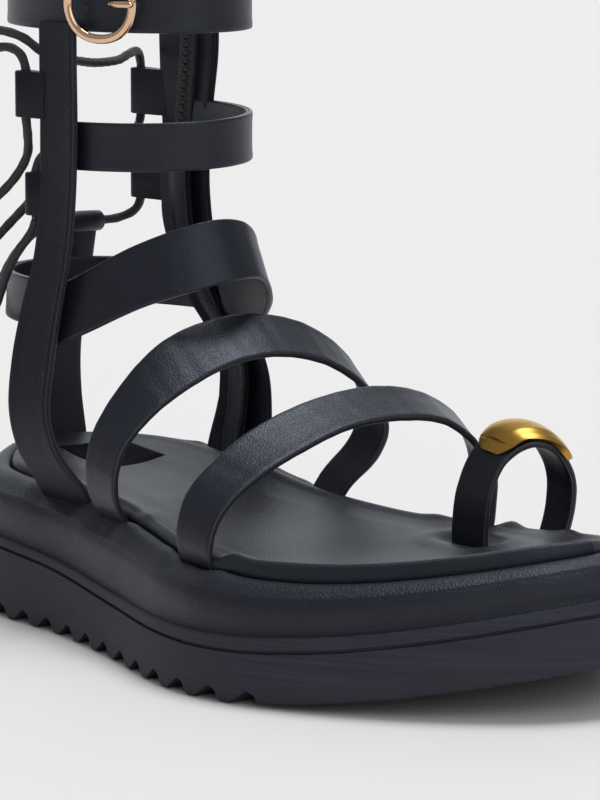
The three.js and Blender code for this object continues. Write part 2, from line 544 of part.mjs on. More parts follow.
// ...and in the slack runs between them, with the two loose ends.
const LACE_SLACK = {
  high: { steps: 34, points: [[28.8, 107.5, 123.1], [28.4, 108.2, 127], [25, 109.4, 129.8], [18, 108.6, 130], [8, 104.6, 128],
    [-4, 100.4, 123.6], [-14, 98.4, 118], [-22, 99, 111], [-28.4, 101.8, 104.4], [-34.4, 104.6, 101.2], [-39.6, 103.2, 104],
    [-40.6, 98.4, 109.6], [-37.4, 93, 115.2], [-33.4, 88.4, 120], [-30.2, 84.6, 125.6], [-28.8, 81.6, 131.4], [-29.8, 79.9, 137],
    [-30.6, 79.5, 142], [-30.6, 79.5, 149], [-30.6, 79.5, 156], [-31.2, 81.6, 160], [-33, 86, 161.6], [-35.8, 92, 159.4],
    [-39.4, 98.4, 152], [-42.2, 102.6, 141], [-43.4, 104.4, 129], [-43.6, 104.8, 119]] },
  low: { steps: 22, points: [[-30.6, 74.9, 113.2], [-31.6, 76.2, 109.4], [-33.8, 79, 104.6], [-35.6, 82.4, 98], [-36, 86, 90.8],
    [-34.8, 91.4, 85], [-31, 98.6, 82.2], [-25, 107, 84], [-17.4, 114, 90], [-9.6, 118, 97.4], [-3.6, 117, 103.6], [-0.4, 115, 106.2], [2.6, 114.2, 106.6]] },
  end: { steps: 14, points: [[-22.3, 77, 158.2], [-25.4, 79.2, 160.4], [-29.4, 83.2, 164.4], [-34.4, 89.4, 166.2], [-40, 96.4, 163.6],
    [-45, 102.4, 155.4], [-48, 106, 143.6], [-49.2, 107.6, 131], [-49.4, 108, 124]] },
};

// ---- assembly --------------------------------------------------------------------
const root = new THREE.Group();
root.name = 'gladiator_sandal';
root.position.x = SOLE.centreShift;
function place(name, geometry, [colour, roughness, metalness]) {
  const mesh = new THREE.Mesh(geometry, new THREE.MeshStandardMaterial({ color: colour, roughness, metalness }));
  mesh.name = name;
  root.add(mesh);
}

const notches = Array.from({ length: TEETH.count }, (_, i) => notch(TEETH.first + i * TEETH.pitch - TEETH.pitch / 2));
place('outsole', geometryOf(cut(solid(outsoleBody()), notches)), COLOURS.rubber);
const slots = [...SLOT_TOOLS(GAP), ...POST_SLOTS(GAP)];
place('footbed_pad', geometryOf(cut(solid(padBody()), slots)), COLOURS.leather);
place('insole_board', geometryOf(cut(solid(insoleBody()), slots)), COLOURS.insole);
const [frontStrap, instepStrap, toeRing] = SLOT_TOOLS(0);
place('front_strap', frontStrap, COLOURS.leather);
place('instep_strap', instepStrap, COLOURS.leather);
place('toe_ring', toeRing, COLOURS.leather);
place('toe_ring_cap', capBody(), COLOURS.gold);

const zipSpan = MEDIAL_POST.slice(1, 10).concat([{ x: 28.7, z: 165, zip: 80.2 }]);
const zipSlot = band(zipRows(zipSpan, ZIP.width + 2 * GAP), { steps: 14, thick: 6, inner: -4, core: legCore, edge: 0.1 });
const zipChain = band(zipRows(zipSpan, ZIP.width), { steps: 14, thick: ZIP.thick, inner: -2.2, core: legCore, edge: 0.2 });
place('ankle_cage', geometryOf(cut(ankleCage(), [zipSlot])), COLOURS.leather);
place('zip_chain', geometryOf(solid(zipChain)), COLOURS.tape);

const buckle = buckleFrame();
place('buckle_frame', buckle.frame, COLOURS.roseGold);
const prongRoot = buckle.centre.clone().addScaledVector(buckle.out, BUCKLE.wire + 0.8 + GAP);
const prongLine = [-5.5, 0, 6, BUCKLE.halfWide + 1.2].map((s, i) => prongRoot.clone()
  .addScaledVector(buckle.side, s).addScaledVector(buckle.out, [-1.6, -0.4, 0, 0][i]).toArray());
place('buckle_prong', cord(prongLine, 1.7, 8), COLOURS.roseGold);

place('lace_top_run', cord(LACE_TOP, LACE, 34), COLOURS.cord);
place('lace_low_run', cord(LACE_LOW, LACE, 12), COLOURS.cord);
for (const [name, { steps, points }] of Object.entries(LACE_SLACK)) {
  place(`lace_slack_${name}`, cord(points, LACE, steps), COLOURS.cord);
}

export default root;
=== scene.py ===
import math
import bpy
import numpy as np
from mathutils import Matrix, Vector


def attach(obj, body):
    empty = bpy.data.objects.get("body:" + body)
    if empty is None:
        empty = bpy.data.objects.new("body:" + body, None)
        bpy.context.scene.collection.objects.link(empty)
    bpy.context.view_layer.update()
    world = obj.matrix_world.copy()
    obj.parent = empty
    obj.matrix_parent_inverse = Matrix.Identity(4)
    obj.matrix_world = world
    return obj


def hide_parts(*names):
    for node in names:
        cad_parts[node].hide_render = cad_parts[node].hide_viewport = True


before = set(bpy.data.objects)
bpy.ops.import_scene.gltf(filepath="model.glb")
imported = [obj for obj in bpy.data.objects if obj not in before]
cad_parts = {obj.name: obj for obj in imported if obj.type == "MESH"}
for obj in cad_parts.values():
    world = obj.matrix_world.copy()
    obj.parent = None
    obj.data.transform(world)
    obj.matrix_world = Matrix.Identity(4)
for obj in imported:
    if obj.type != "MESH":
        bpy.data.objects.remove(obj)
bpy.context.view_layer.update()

bl_info = {
    "name": "Gladiator Sandal",
    "version": (1, 0, 0),
    "blender": (4, 5, 0),
    "location": "3D View > Sidebar > Sandal",
    "description": "A right-foot platform gladiator sandal in black leather",
    "category": "Add Mesh",
}

MM = 0.001
CENTRE_SHIFT = 3.0  # the tables below measure x from the sole's long axis

# ---- tables, in millimetres -------------------------------------------------
SOLE_LENGTH, FLAT_TO = 252.0, 165.0
BAND_HEIGHT, BAND_GROWTH, GROOVE_HEIGHT, GROOVE_DEPTH = 3.4, 0.9, 0.7, 1.0
INSOLE_THICK = 4.2
LEATHER, POST_LEATHER = 2.0, 2.2

# Outline of the sole: distance from the heel, half width on that side.
LATERAL = [
    (0, 0), (4.3, 16.4), (15, 30), (29, 38.6), (46, 41.8), (80, 43.8), (113, 50.2), (146, 58.8),
    (163, 60.4), (180, 57.6), (196, 51), (210, 42.6), (224, 32), (236, 20), (246, 7), (252, -11)]
MEDIAL = [
    (4, 15), (15, 28.5), (30, 36), (50, 38.5), (80, 37), (105, 36), (130, 42), (155, 50.5), (175, 54),
    (195, 54), (215, 49.5), (232, 40), (244, 28), (250, 18)]
# Distance from the heel; groove height, seam height, seam inset.
LEVELS = [(0, 22.2, 41.2, 12.4), (60, 19.2, 39.6, 11.8), (110, 15.2, 36.8, 10.6), (160, 13.8, 33.4, 10.0),
          (200, 13.4, 31.0, 9.6), (252, 13.4, 30.4, 9.4)]
# Distance from the heel, rise of the seam on the arch side.
ARCH = [(0, 1), (20, 1.2), (50, 3.8), (90, 3.6), (120, 0), (150, -1), (175, 0.6), (200, 2), (252, 1.4)]

# Where each strap goes into the rim: x, y, half width.
STRAP_FEET = [
    (-51.5, -28, 8.5), (-43.2, 26, 8.5), (-37, 54, 12), (43, -34, 8), (29, 13, 8), (30, 61, 14), (3, 111, 9),
    (47, -61, 7)]
# Soft hollows in the insole where a strap goes in: x, y, half width.
HOLLOWS = [(24.5, -50.5, 6.5), (46, -60.5, 5.5), (42.5, -34, 6.5), (-49.5, -28, 7), (-39.5, 26, 7)]
# The outsole's edges: inset, height above the underside, the groove or the band's top.
FOOT_EDGE = [(1.7, 0), (0.9, 0.14), (0.35, 0.55), (0.05, 1.3)]
GROOVE_EDGE = [
    (0.06, -0.1), (0.3, 0.02), (GROOVE_DEPTH, 0.1), (GROOVE_DEPTH, GROOVE_HEIGHT),
    (0.35, GROOVE_HEIGHT + 0.06), (0.1, GROOVE_HEIGHT + 0.25)]
LIP_EDGE = [(0.04, -1.4), (0.1, -0.5), (0.32, -0.14), (0.75, 0), (2.2, 0), (3.4, -0.35)]
# Notches under the sole: how many, from the heel to the middle of the first tooth, half length.
NOTCHES, FIRST_TOOTH, NOTCH_REACH = 13, 40.4, 75.0
# The rim's roll: share of the seam inset, millimetres of inset, share of the height.
RIM_ROLL = [
    (0, 1.3, 0.0), (0, 1.75, 0.05), (0, 1.9, 0.13), (0, 1.65, 0.25), (0, 1.4, 0.38), (0, 1.5, 0.53),
    (0, 2.35, 0.68), (0.38, 0, 0.8), (0.52, 0, 0.885), (0.66, 0, 0.945), (0.8, 0, 0.972), (0.9, 0, 0.965),
    (0.96, 0, 0.935), (1.0, 0, 0.87), (1.01, 0, 0.7)]
# The insole's raised edge: distance in from the seam, fall from its highest line.
BOARD_EDGE = [
    (0.5, 3.6), (0.2, 2.4), (0.35, 1.5), (0.8, 0.75), (1.6, 0.2), (2.5, 0.02), (3.4, 0.14), (4.3, 0.5),
    (5.4, 0.9), (7.5, 1.2), (10, 1.4), (15, 1.5)]
BOARD_DEEP = 3.9  # from the seam down to the board's underside
LABEL_CORNER = (-7.5, 75.0)  # of the bare patch, towards the toe on the lateral side

# Straps: rear rail, front rail, from the lateral side over the foot to the medial side.
FRONT_STRAP = [
    ((-49.6, -21, 29), (-49.6, -35, 28)), ((-51.8, -21, 40), (-51.4, -35, 37)),
    ((-48.4, -21.2, 50.5), (-47.6, -35.2, 46.4)), ((-38.8, -21.7, 59), (-36, -35.8, 55.2)),
    ((-26, -22.5, 66.4), (-20, -36.6, 62)), ((-8, -23.8, 72.2), (-5, -37.5, 66.6)),
    ((12, -25.2, 74.2), (12, -38.6, 67.4)), ((28, -26.3, 71), (27, -39.2, 64.8)),
    ((39.5, -27, 63.6), (37.5, -39.8, 57.2)), ((45, -27.5, 53.5), (43, -40.3, 49)),
    ((44.5, -27.6, 42), (42.8, -40.6, 39.5)), ((41, -27.6, 29.5), (41, -40.6, 28.5))]
INSTEP_STRAP = [
    ((-36.5, 33, 31.5), (-38, 19, 31)), ((-42.8, 33.4, 44), (-43.6, 19.2, 42.5)),
    ((-41.8, 33.2, 57), (-41.6, 19, 54.6)), ((-33, 32.3, 70.5), (-33.4, 18, 63.8)),
    ((-19.5, 30.3, 82.6), (-20.4, 16.1, 72)), ((-4, 28, 88), (-4.6, 13.7, 78.2)),
    ((12, 25.2, 88.6), (11, 11.4, 79)), ((26, 21.8, 84.4), (26, 8.6, 74.6)), ((37, 18, 75), (36, 5, 66)),
    ((40.6, 15.6, 63), (39.8, 2.8, 56)), ((37.4, 16.4, 51.5), (36.2, 3.4, 47.5)),
    ((30.4, 19.4, 42.5), (29.4, 6.2, 40.2)), ((25, 22, 33), (24.6, 8.6, 32.4))]
RING_STRAP = [
    ((24, -44, 27), (24, -57.5, 27)), ((23.6, -44, 36), (23.8, -57.5, 36)),
    ((24.6, -45, 48), (24.7, -58.5, 48)), ((29, -47, 58.5), (28.8, -60.5, 57)),
    ((36.4, -50, 63.6), (36.6, -63.5, 61.2)), ((43.8, -53, 61.6), (44.2, -65, 58.6)),
    ((48.6, -55.4, 53), (48.6, -66.6, 51)), ((48.8, -55.8, 42.5), (48.8, -66.6, 42.5)),
    ((45.6, -55, 29.5), (45.6, -65.6, 30))]
# The toe cap's two edges, over the toe.
CAP_ROWS = [
    ((28.6, -51, 58.2), (29.2, -57, 57.2)), ((30.2, -48.4, 60.4), (30.6, -60.8, 58.9)),
    ((33.4, -48, 63), (34, -62.8, 61.2)), ((37, -49.4, 64.2), (37.6, -64.6, 61.2)),
    ((40.8, -51.4, 64), (41.4, -66, 60)), ((44.4, -54, 62.1), (44.8, -66.8, 57.6)),
    ((47.2, -57.4, 58.6), (47.4, -65.6, 55.4)), ((47.8, -60.4, 55.4), (47.9, -63.2, 54.8))]
# The heel strap's two edges, from the rim up.
HEEL_STRAP = [
    ((-6, 109.5, 33.5), (11, 109.5, 33.5)), ((-5.4, 112.2, 45), (11.4, 112.2, 45)),
    ((-4.4, 114.6, 56), (11.6, 114.6, 56)), ((-1.6, 115.8, 68), (12.2, 115.8, 68)),
    ((1, 116.2, 80), (14, 116.2, 80)), ((3, 116, 94), (16.6, 116, 94)),
    ((4.4, 115.4, 104.6), (18, 115.4, 104.6))]
# The oval that the cage's rings lie on: its middle's y, half length, half width.
CAGE_OVAL = (72.4, 43.4, 29.6)
# Upper and lower edges of the cage's other level straps.
TOP_STRAP, UPPER_RING, HEEL_BAND = (182.0, 167.2), (143.2, 129.6), (96.6, 83.0)
# Posts: x, z, front edge y, rear edge y, zip line y.
LATERAL_POST = [
    (-31.5, 32, 42, 63.5), (-36.8, 41.5, 42.5, 65), (-41, 51, 48.4, 68), (-41.6, 61, 52.6, 71),
    (-39.2, 74, 54.2, 73), (-35.6, 88, 55.6, 73.5), (-32.4, 104, 55.4, 71.2), (-30.6, 120, 55.2, 71),
    (-29.8, 140, 55.2, 71.4), (-29.6, 158, 55.6, 71.8), (-29.6, 169.5, 55.6, 71.8)]
MEDIAL_POST = [
    (28.2, 33, 46, 75, 62), (31.8, 44, 48.5, 76.5, 63.5), (33.6, 55, 50, 74.5, 63.5),
    (33.8, 66, 51.5, 72, 63), (33.2, 76, 56, 74.5, 66), (32, 88, 65, 85, 76), (30.8, 100, 72, 93.5, 83.4),
    (30, 118, 75, 95, 86), (29.2, 140, 72.5, 95.5, 83.4), (28.8, 158, 69, 96, 80.6),
    (28.6, 169.5, 68.5, 96, 80)]
# Lower half ring: degrees from the front, upper edge, lower edge.
LOWER_EDGE = [
    (-96, 92, 76), (-74, 98.5, 82.4), (-47, 108.4, 92), (-21, 114.2, 97.2), (0, 115.8, 99.4),
    (21, 113.6, 98.4), (47, 106, 89.5), (74, 97.5, 80.5), (92, 93, 78)]
# Lace tabs: x, y, lower end, upper end, where the plate starts on the post.
TABS = {"lateral_high": (-30.6, 79.5, 142.2, 155.2, 69), "lateral_low": (-30.6, 74.9, 114.8, 126.8, 69),
        "medial_high": (28.6, 107, 138.4, 151.8, 93), "medial_low": (28.8, 107.5, 113.5, 122, 92)}
TUBE_INNER, TUBE_OUTER = 1.75, 3.0  # radii of leather that is folded round the lace
# The tunnel on the heel strap: its middle, its length.
HEEL_TUNNEL = (11.2, 114.2, 106.6, 14.4)
# Holes in the top strap: degrees from the front, height.
STRAP_HOLES = [(-65.4, 173.8), (-54.6, 174.2), (-41.8, 174.8), (-29.5, 175)]
# The buckle: degrees from the front, height, half sizes, half its wire, distance off the strap.
BUCKLE = dict(turn=-56, z=175.4, wide=10.2, tall=9.8, wire=1.3, stand=3.6)
# The lace's runs, each from one end to the other.
LACE_TOP = [
    (-21, 77.5, 157.8), (-10.6, 83.7, 156.8), (0, 90, 155.4), (9, 95.2, 155), (16, 99.4, 155.2),
    (22, 103.2, 156.4), (26.8, 106, 156.6), (28.6, 107, 153.2), (28.6, 107, 149), (28.6, 107, 144),
    (28.6, 107, 138.4), (27, 106, 135.2), (22, 102.6, 134.2), (14, 97.6, 133.6), (4, 92, 132.2),
    (-8, 86, 131.6), (-20, 79.4, 132), (-27.8, 75.8, 131), (-30.6, 74.9, 127), (-30.6, 74.9, 120),
    (-30.6, 74.9, 113.8)]
LACE_LOW = [
    (3, 114.2, 106.6), (11.2, 114.2, 106.6), (19.4, 114.2, 106.6), (24.6, 112.6, 107.2),
    (28, 109.4, 109.6), (28.8, 107.5, 113.6), (28.8, 107.5, 122.6)]
SLACK_HIGH = [
    (28.8, 107.5, 123.1), (28.4, 108.2, 127), (25, 109.4, 129.8), (18, 108.6, 130), (8, 104.6, 128),
    (-4, 100.4, 123.6), (-14, 98.4, 118), (-22, 99, 111), (-28.4, 101.8, 104.4), (-34.4, 104.6, 101.2),
    (-39.6, 103.2, 104), (-40.6, 98.4, 109.6), (-37.4, 93, 115.2), (-33.4, 88.4, 120),
    (-30.2, 84.6, 125.6), (-28.8, 81.6, 131.4), (-29.8, 79.9, 137), (-30.6, 79.5, 142),
    (-30.6, 79.5, 149), (-30.6, 79.5, 156), (-31.2, 81.6, 160), (-33, 86, 161.6), (-35.8, 92, 159.4),
    (-39.4, 98.4, 152), (-42.2, 102.6, 141), (-43.4, 104.4, 129), (-43.6, 104.8, 119)]
SLACK_LOW = [
    (-30.6, 74.9, 113.2), (-31.6, 76.2, 109.4), (-33.8, 79, 104.6), (-35.6, 82.4, 98), (-36, 86, 90.8),
    (-34.8, 91.4, 85), (-31, 98.6, 82.2), (-25, 107, 84), (-17.4, 114, 90), (-9.6, 118, 97.4),
    (-3.6, 117, 103.6), (-0.4, 115, 106.2), (2.6, 114.2, 106.6)]
SLACK_END = [
    (-22.3, 77, 158.2), (-25.4, 79.2, 160.4), (-29.4, 83.2, 164.4), (-34.4, 89.4, 166.2),
    (-40, 96.4, 163.6), (-45, 102.4, 155.4), (-48, 106, 143.6), (-49.2, 107.6, 131), (-49.4, 108, 124)]

# Lights: name, degrees round from the front, degrees up, degrees wide, strength.
LIGHTS = [("overhead bank", 100, 81, 26, 1.6), ("back bank", 145, 14, 60, 0.7),
          ("front bank", -12, 28, 50, 0.66)]
LAMP_COLOUR, SKY_COLOUR, SKY_STRENGTH = (0.93, 0.96, 1.0), (0.9, 0.94, 1.0, 1), 0.36
# Camera: degrees round from the front, degrees up, metres from its aim; lens in millimetres.
CAMERA = dict(turn=37.45, rise=8.77, reach=1.22114, aim=(25.73, 25.99, 60.0), lens=194.2, shift=0.0114)
FLOOR_EDGE = 14.0  # metres from the middle to an edge


# ---- curves and surfaces -----------------------------------------------------
def spline(points, count, closed=False):
    """count + 1 points on a centripetal curve through the given ones."""
    p = np.asarray(points, float)
    n = len(p)
    spans = n if closed else n - 1
    out = []
    for t in np.linspace(0, spans, count + 1):
        i = min(int(t), spans - 1)
        w = t - i
        if closed:
            a, b, c, d = (p[(i + k) % n] for k in (-1, 0, 1, 2))
        else:
            b, c = p[i], p[i + 1]
            a = p[i - 1] if i > 0 else 2 * p[0] - p[1]
            d = p[i + 2] if i + 2 < n else 2 * p[-1] - p[-2]
        d0, d1, d2 = (max(np.linalg.norm(v - u), 1e-6) ** 0.5 for u, v in ((a, b), (b, c), (c, d)))
        m1 = ((b - a) / d0 - (c - a) / (d0 + d1) + (c - b) / d1) * d1
        m2 = ((c - b) / d1 - (d - b) / (d1 + d2) + (d - c) / d2) * d1
        out.append(b + m1 * w + (-3 * b + 3 * c - 2 * m1 - m2) * w * w + (2 * b - 2 * c + m1 + m2) * w ** 3)
    return np.array(out)


def unit(v):
    """The vector, or the vector in each row, at length one."""
    return v / np.linalg.norm(v, axis=-1, keepdims=True)


def steps_of(points):
    """Distance from each point of a line to its next."""
    return np.linalg.norm(np.diff(points, axis=0), axis=1)


def travel(points):
    """Distance along a line up to each of its points."""
    return np.r_[0, np.cumsum(steps_of(points))]


def spread(line, run, count):
    """The line's points at even steps of the distance run."""
    at = np.linspace(0, run[-1], count + 1)
    return np.stack([np.interp(at, run, line[:, k]) for k in range(line.shape[1])], -1)


def even(points, count):
    """The same line with its points spread evenly along its length."""
    line = np.asarray(points, float)
    return spread(line, travel(line), count)


def column(table, key):
    """A smooth function through one column of a table, against its first column."""
    x = np.array([r[0] for r in table], float)
    y = np.array([r[key] for r in table], float)
    slope = np.array([(y[min(i + 1, len(x) - 1)] - y[max(i - 1, 0)])
                      / (x[min(i + 1, len(x) - 1)] - x[max(i - 1, 0)]) for i in range(len(x))])
    fine = np.linspace(x[0], x[-1], 800)
    i = np.clip(np.searchsorted(x, fine, "right") - 1, 0, len(x) - 2)
    h = x[i + 1] - x[i]
    t = (fine - x[i]) / h
    value = ((2 * t**3 - 3 * t**2 + 1) * y[i] + (t**3 - 2 * t**2 + t) * h * slope[i]
             + (-2 * t**3 + 3 * t**2) * y[i + 1] + (t**3 - t**2) * h * slope[i + 1])
    return lambda at: np.interp(at, fine, value)


def smoothstep(x, lo, hi):
    """From 0 at lo to 1 at hi, level at both ends."""
    t = np.clip((np.asarray(x, float) - lo) / (hi - lo), 0, 1)
    return t * t * (3 - 2 * t)


def along_sole(y):
    return np.clip(SOLE_LENGTH / 2 - y, 0, SOLE_LENGTH)


def spring_at(y):
    """How far the underside has risen towards the toe."""
    past = np.clip(along_sole(y) - FLAT_TO, 0, None) / (SOLE_LENGTH - FLAT_TO)
    return 13.8 * past**2


groove_at, seam_at, inset_at = (column(LEVELS, key) for key in (1, 2, 3))
arch_at = column(ARCH, 1)


def groove_level(x, y):
    return groove_at(along_sole(y)) + spring_at(y)


def band_height(y):
    return BAND_HEIGHT + BAND_GROWTH * smoothstep(along_sole(y), 60, 190)


def band_top(x, y):
    """Top of the lip above the groove, which the padded rim stands on."""
    return groove_level(x, y) + band_height(y)


def board_rise(y):
    """How far the insole board stands above the seam."""
    return 1.1 + 1.1 * smoothstep(along_sole(y), 40, 185)


def heel_cup(x, y):
    """The rim and insole climb towards the back of the heel."""
    return 3.4 * (1 - smoothstep(along_sole(y), 2, 58)) * smoothstep(x, -34, -8)


def seam_level(x, y):
    """Height of the line where the insole meets the padded rim."""
    arch = arch_at(along_sole(y)) * smoothstep(x, 4, 34)
    return seam_at(along_sole(y)) + spring_at(y) + arch + heel_cup(x, y)


def sole_outline(per_side):
    """Heel tip, lateral side, toe tip, medial side back: 2 * per_side points."""
    loop = [(-half, SOLE_LENGTH / 2 - back) for back, half in LATERAL]
    loop += [(half, SOLE_LENGTH / 2 - back) for back, half in reversed(MEDIAL)]
    dense = spline(loop, 3000, closed=True)[:-1]
    toe = int(round(3000 * (len(LATERAL) - 1) / len(loop)))
    lateral = even(dense[:toe + 1], per_side)
    medial = even(np.r_[dense[toe:], dense[:1]], per_side)
    return np.r_[lateral[:-1], medial[:-1]]


def inset(outline, amount):
    """The outline moved in by the amount, one for all or one a point."""
    tangent = unit(np.roll(outline, -1, 0) - np.roll(outline, 1, 0))
    return outline + np.stack([-tangent[:, 1], tangent[:, 0]], -1) * np.reshape(amount, (-1, 1))


class Surface:
    """Collects rings of points and the faces between them."""
    def __init__(self):
        self.points, self.faces, self.count = [], [], 0

    def add(self, points):
        points = np.asarray(points, float).reshape(-1, 3)
        start = self.count
        self.points.append(points)
        self.count += len(points)
        return np.arange(start, self.count)

    def bridge(self, a, b, closed=True):
        n = len(a)
        for i in range(n if closed else n - 1):
            j = (i + 1) % n
            self.faces.append((a[i], a[j], b[j], b[i]))

    def mesh(self, name):
        points = np.concatenate(self.points)
        data = bpy.data.meshes.new(name)
        world = (points + np.array([CENTRE_SHIFT, 0, 0])) * MM
        data.from_pydata(world.tolist(), [], [tuple(int(i) for i in f) for f in self.faces])
        data.update()
        return data


def signed_volume(data):
    data.calc_loop_triangles()
    co = np.zeros(len(data.vertices) * 3)
    data.vertices.foreach_get("co", co)
    co = co.reshape(-1, 3)
    tris = np.zeros(len(data.loop_triangles) * 3, np.int32)
    data.loop_triangles.foreach_get("vertices", tris)
    a, b, c = (co[tris.reshape(-1, 3)[:, k]] for k in range(3))
    return float(np.einsum("ij,ij->i", a, np.cross(b, c)).sum())


def piece(name, data, finish, smooth=38.0):
    """A finished object: faces out, smooth but for its sharp edges, one finish."""
    if signed_volume(data) < 0:
        data.flip_normals()
    data.shade_smooth()
    data.set_sharp_from_angle(angle=math.radians(smooth))
    obj = bpy.data.objects.new(name, data)
    bpy.context.scene.collection.objects.link(obj)
    obj.data.materials.clear()
    obj.data.materials.append(finish)
    return obj


def add_note(data, name, values):
    """A vector kept on each point for the finish to read."""
    layer = data.attributes.new(name, "FLOAT_VECTOR", "POINT")
    layer.data.foreach_set("vector", np.asarray(values, np.float32).ravel())


def ring_body(name, rings, across, bottom, top):
    """A closed body from rings that follow the sole's outline, with gridded caps."""
    s = Surface()
    rings = [np.asarray(r, float) for r in rings]
    n, toe = len(rings[0]), len(rings[0]) // 2
    ids = [s.add(r) for r in rings]
    for a, b in zip(ids, ids[1:]):
        s.bridge(a, b)
    for ring, row_ids, height, up in ((rings[0], ids[0], bottom, False), (rings[-1], ids[-1], top, True)):
        before = None
        for i in range(1, toe):
            t = np.arange(1, across) / across
            grid = ring[i] + (ring[n - i] - ring[i]) * t[:, None]
            grid[:, 2] = height(grid[:, 0], grid[:, 1], t, grid[:, 2])
            row = np.r_[row_ids[i], s.add(grid), row_ids[n - i]]
            for k in range(across):
                if before is None:
                    face = (row_ids[0], row[k], row[k + 1])
                else:
                    face = (before[k], row[k], row[k + 1], before[k + 1])
                s.faces.append(face if up else face[::-1])
                if i == toe - 1:
                    face = (row[k], row_ids[toe], row[k + 1])
                    s.faces.append(face if up else face[::-1])
            before = row
    return s.mesh(name)


def loft(name, s, rings, finish, smooth, closed=False, notes=None):
    """A piece from a surface's rings, closed at its two ends or round on itself."""
    for a, b in zip(rings, rings[1:]):
        s.bridge(a, b)
    if closed:
        s.bridge(rings[-1], rings[0])
    else:
        s.faces += [tuple(rings[0]), tuple(rings[-1][::-1])]
    data = s.mesh(name)
    if notes is not None:
        add_note(data, "strap", np.concatenate(notes))
    return piece(name, data, finish, smooth)


def band_frame(a, b, core, closed=False):
    """Middle, width, across and outward directions of a band between two rails round a core."""
    if closed:
        turn = (np.roll(a, -1, 0) - np.roll(a, 1, 0)) + (np.roll(b, -1, 0) - np.roll(b, 1, 0))
    else:
        turn = np.gradient(a, axis=0) + np.gradient(b, axis=0)
    across, width = unit(b - a), np.linalg.norm(b - a, axis=1)
    normal = unit(np.cross(unit(turn), across))
    mid = (a + b) / 2
    normal[np.einsum("ij,ij->i", normal, mid - np.array([core(m) for m in mid])) < 0] *= -1
    return mid, width, across, normal


def strap_section(width, thick):
    """Outline of a strap's section: outer leather folded over an inset lining."""
    side = [(0.7, -thick), (0.3, -thick + 0.08), (0.12, -thick + 0.3), (0.1, -1.32), (0.34, -1.24),
            (0.34, -1.14), (0.04, -1.02), (0.0, -0.55), (0.1, -0.22), (0.32, -0.05), (0.75, 0.0)]
    face = [(w, -0.13 * smoothstep(min(w, width - w), 1.4, 3.4)) for w in np.linspace(1.5, width - 1.5, 9)]
    back = [(w, -thick) for w in np.linspace(width - 2, 2, 4)]
    return np.array(side + face + [(width - w, h) for w, h in side[::-1]] + back)


def strap(name, rails, core, finish, thick=LEATHER, lift=0.0, closed=False, waves=0.0, folds=0.0):
    """A leather strap whose outside lies on two rails, raised by lift; folds run along it."""
    a, b = rails
    mid, width, across, normal = band_frame(a, b, core, closed)
    length = travel(mid)
    s, notes, ids = Surface(), [], []
    for i in range(len(a)):
        section = strap_section(width[i], thick)
        wave = waves * math.sin(length[i] * 0.9) * math.sin(length[i] * 0.23)
        h = section[:, 1] + lift + wave
        h = h - folds * np.cos(section[:, 0] / width[i] * 4 * np.pi + 0.5 * math.sin(length[i] * 0.06))
        ids.append(s.add(a[i] + across[i] * section[:, :1] + normal[i] * h[:, None]))
        # Marks the strap's edge faces, which the leather finish paints lighter as a highlight.
        edge = np.where((section[:, 1] < -0.15) & (section[:, 1] > -thick + 0.2), 1.0, 0.0)
        notes.append(np.stack([np.full(len(section), length[i]), section[:, 0] - width[i] / 2, edge], -1))
    return loft(name, s, ids, finish, 50, closed, notes)


def rails_of(rows, count):
    """The two rails of a strap's table as smooth lines, evenly divided along their middle."""
    a, b = (spline([r[k] for r in rows], 400) for k in (0, 1))
    run = travel((a + b) / 2)
    return tuple(spread(rail, run, count) for rail in (a, b))


def on_ellipse(turn, mid, long, wide, z):
    """Points round the leg: degrees from the front, the ellipse's middle y, half length and half width."""
    turn = np.radians(turn)
    return np.stack([wide * np.sin(turn), mid - long * np.cos(turn), z + 0 * turn], -1)


def leg_core(m):
    """The middle of the leg beside a point."""
    return np.array([0, min(max(m[1], 58), 86), m[2]])


def heel_core(m):
    return np.array([0, 80, m[2]])


def bent_over(x, y, z):
    """The core of a strap that is bent over one point."""
    return lambda m: np.array([x, y, z])


def tube(name, path, radius, sides, finish, strands=0, pitch=6.0, relief=0.0, ends=0.6):
    """A round cord or wire along a path, with rounded ends and any number of wound strands."""
    p = np.asarray(path, float)
    p = even(p, max(int(steps_of(p).sum() / (radius * 0.45)), 8))
    tangent = unit(np.gradient(p, axis=0))
    side = unit(np.cross(tangent[0], [0.3, 0.5, 0.8]))
    s, ids, notes, run = Surface(), [], [], 0.0
    angle = np.arange(sides) * 2 * np.pi / sides
    rounding = [(-ends * 0.9, 0.45), (-ends * 0.5, 0.8)]
    for i in range(len(p)):
        if i:
            run += np.linalg.norm(p[i] - p[i - 1])
            side = unit(side - tangent[i] * (side @ tangent[i]))
        up = np.cross(tangent[i], side)
        wound = 1 + relief * np.cos(strands * (angle - 2 * np.pi * run / pitch))
        around = np.cos(angle)[:, None] * side + np.sin(angle)[:, None] * up
        layers = [(0, 1.0)]
        if i == 0:
            layers = rounding + layers
        elif i == len(p) - 1:
            layers = layers + [(-d, r) for d, r in rounding[::-1]]
        for push, scale in layers:
            ids.append(s.add(p[i] + tangent[i] * push + around * (radius * wound * scale)[:, None]))
            notes.append(np.stack([np.full(sides, run + push), angle / (2 * np.pi), np.zeros(sides)], -1))
    return loft(name, s, ids, finish, 60, notes=notes)


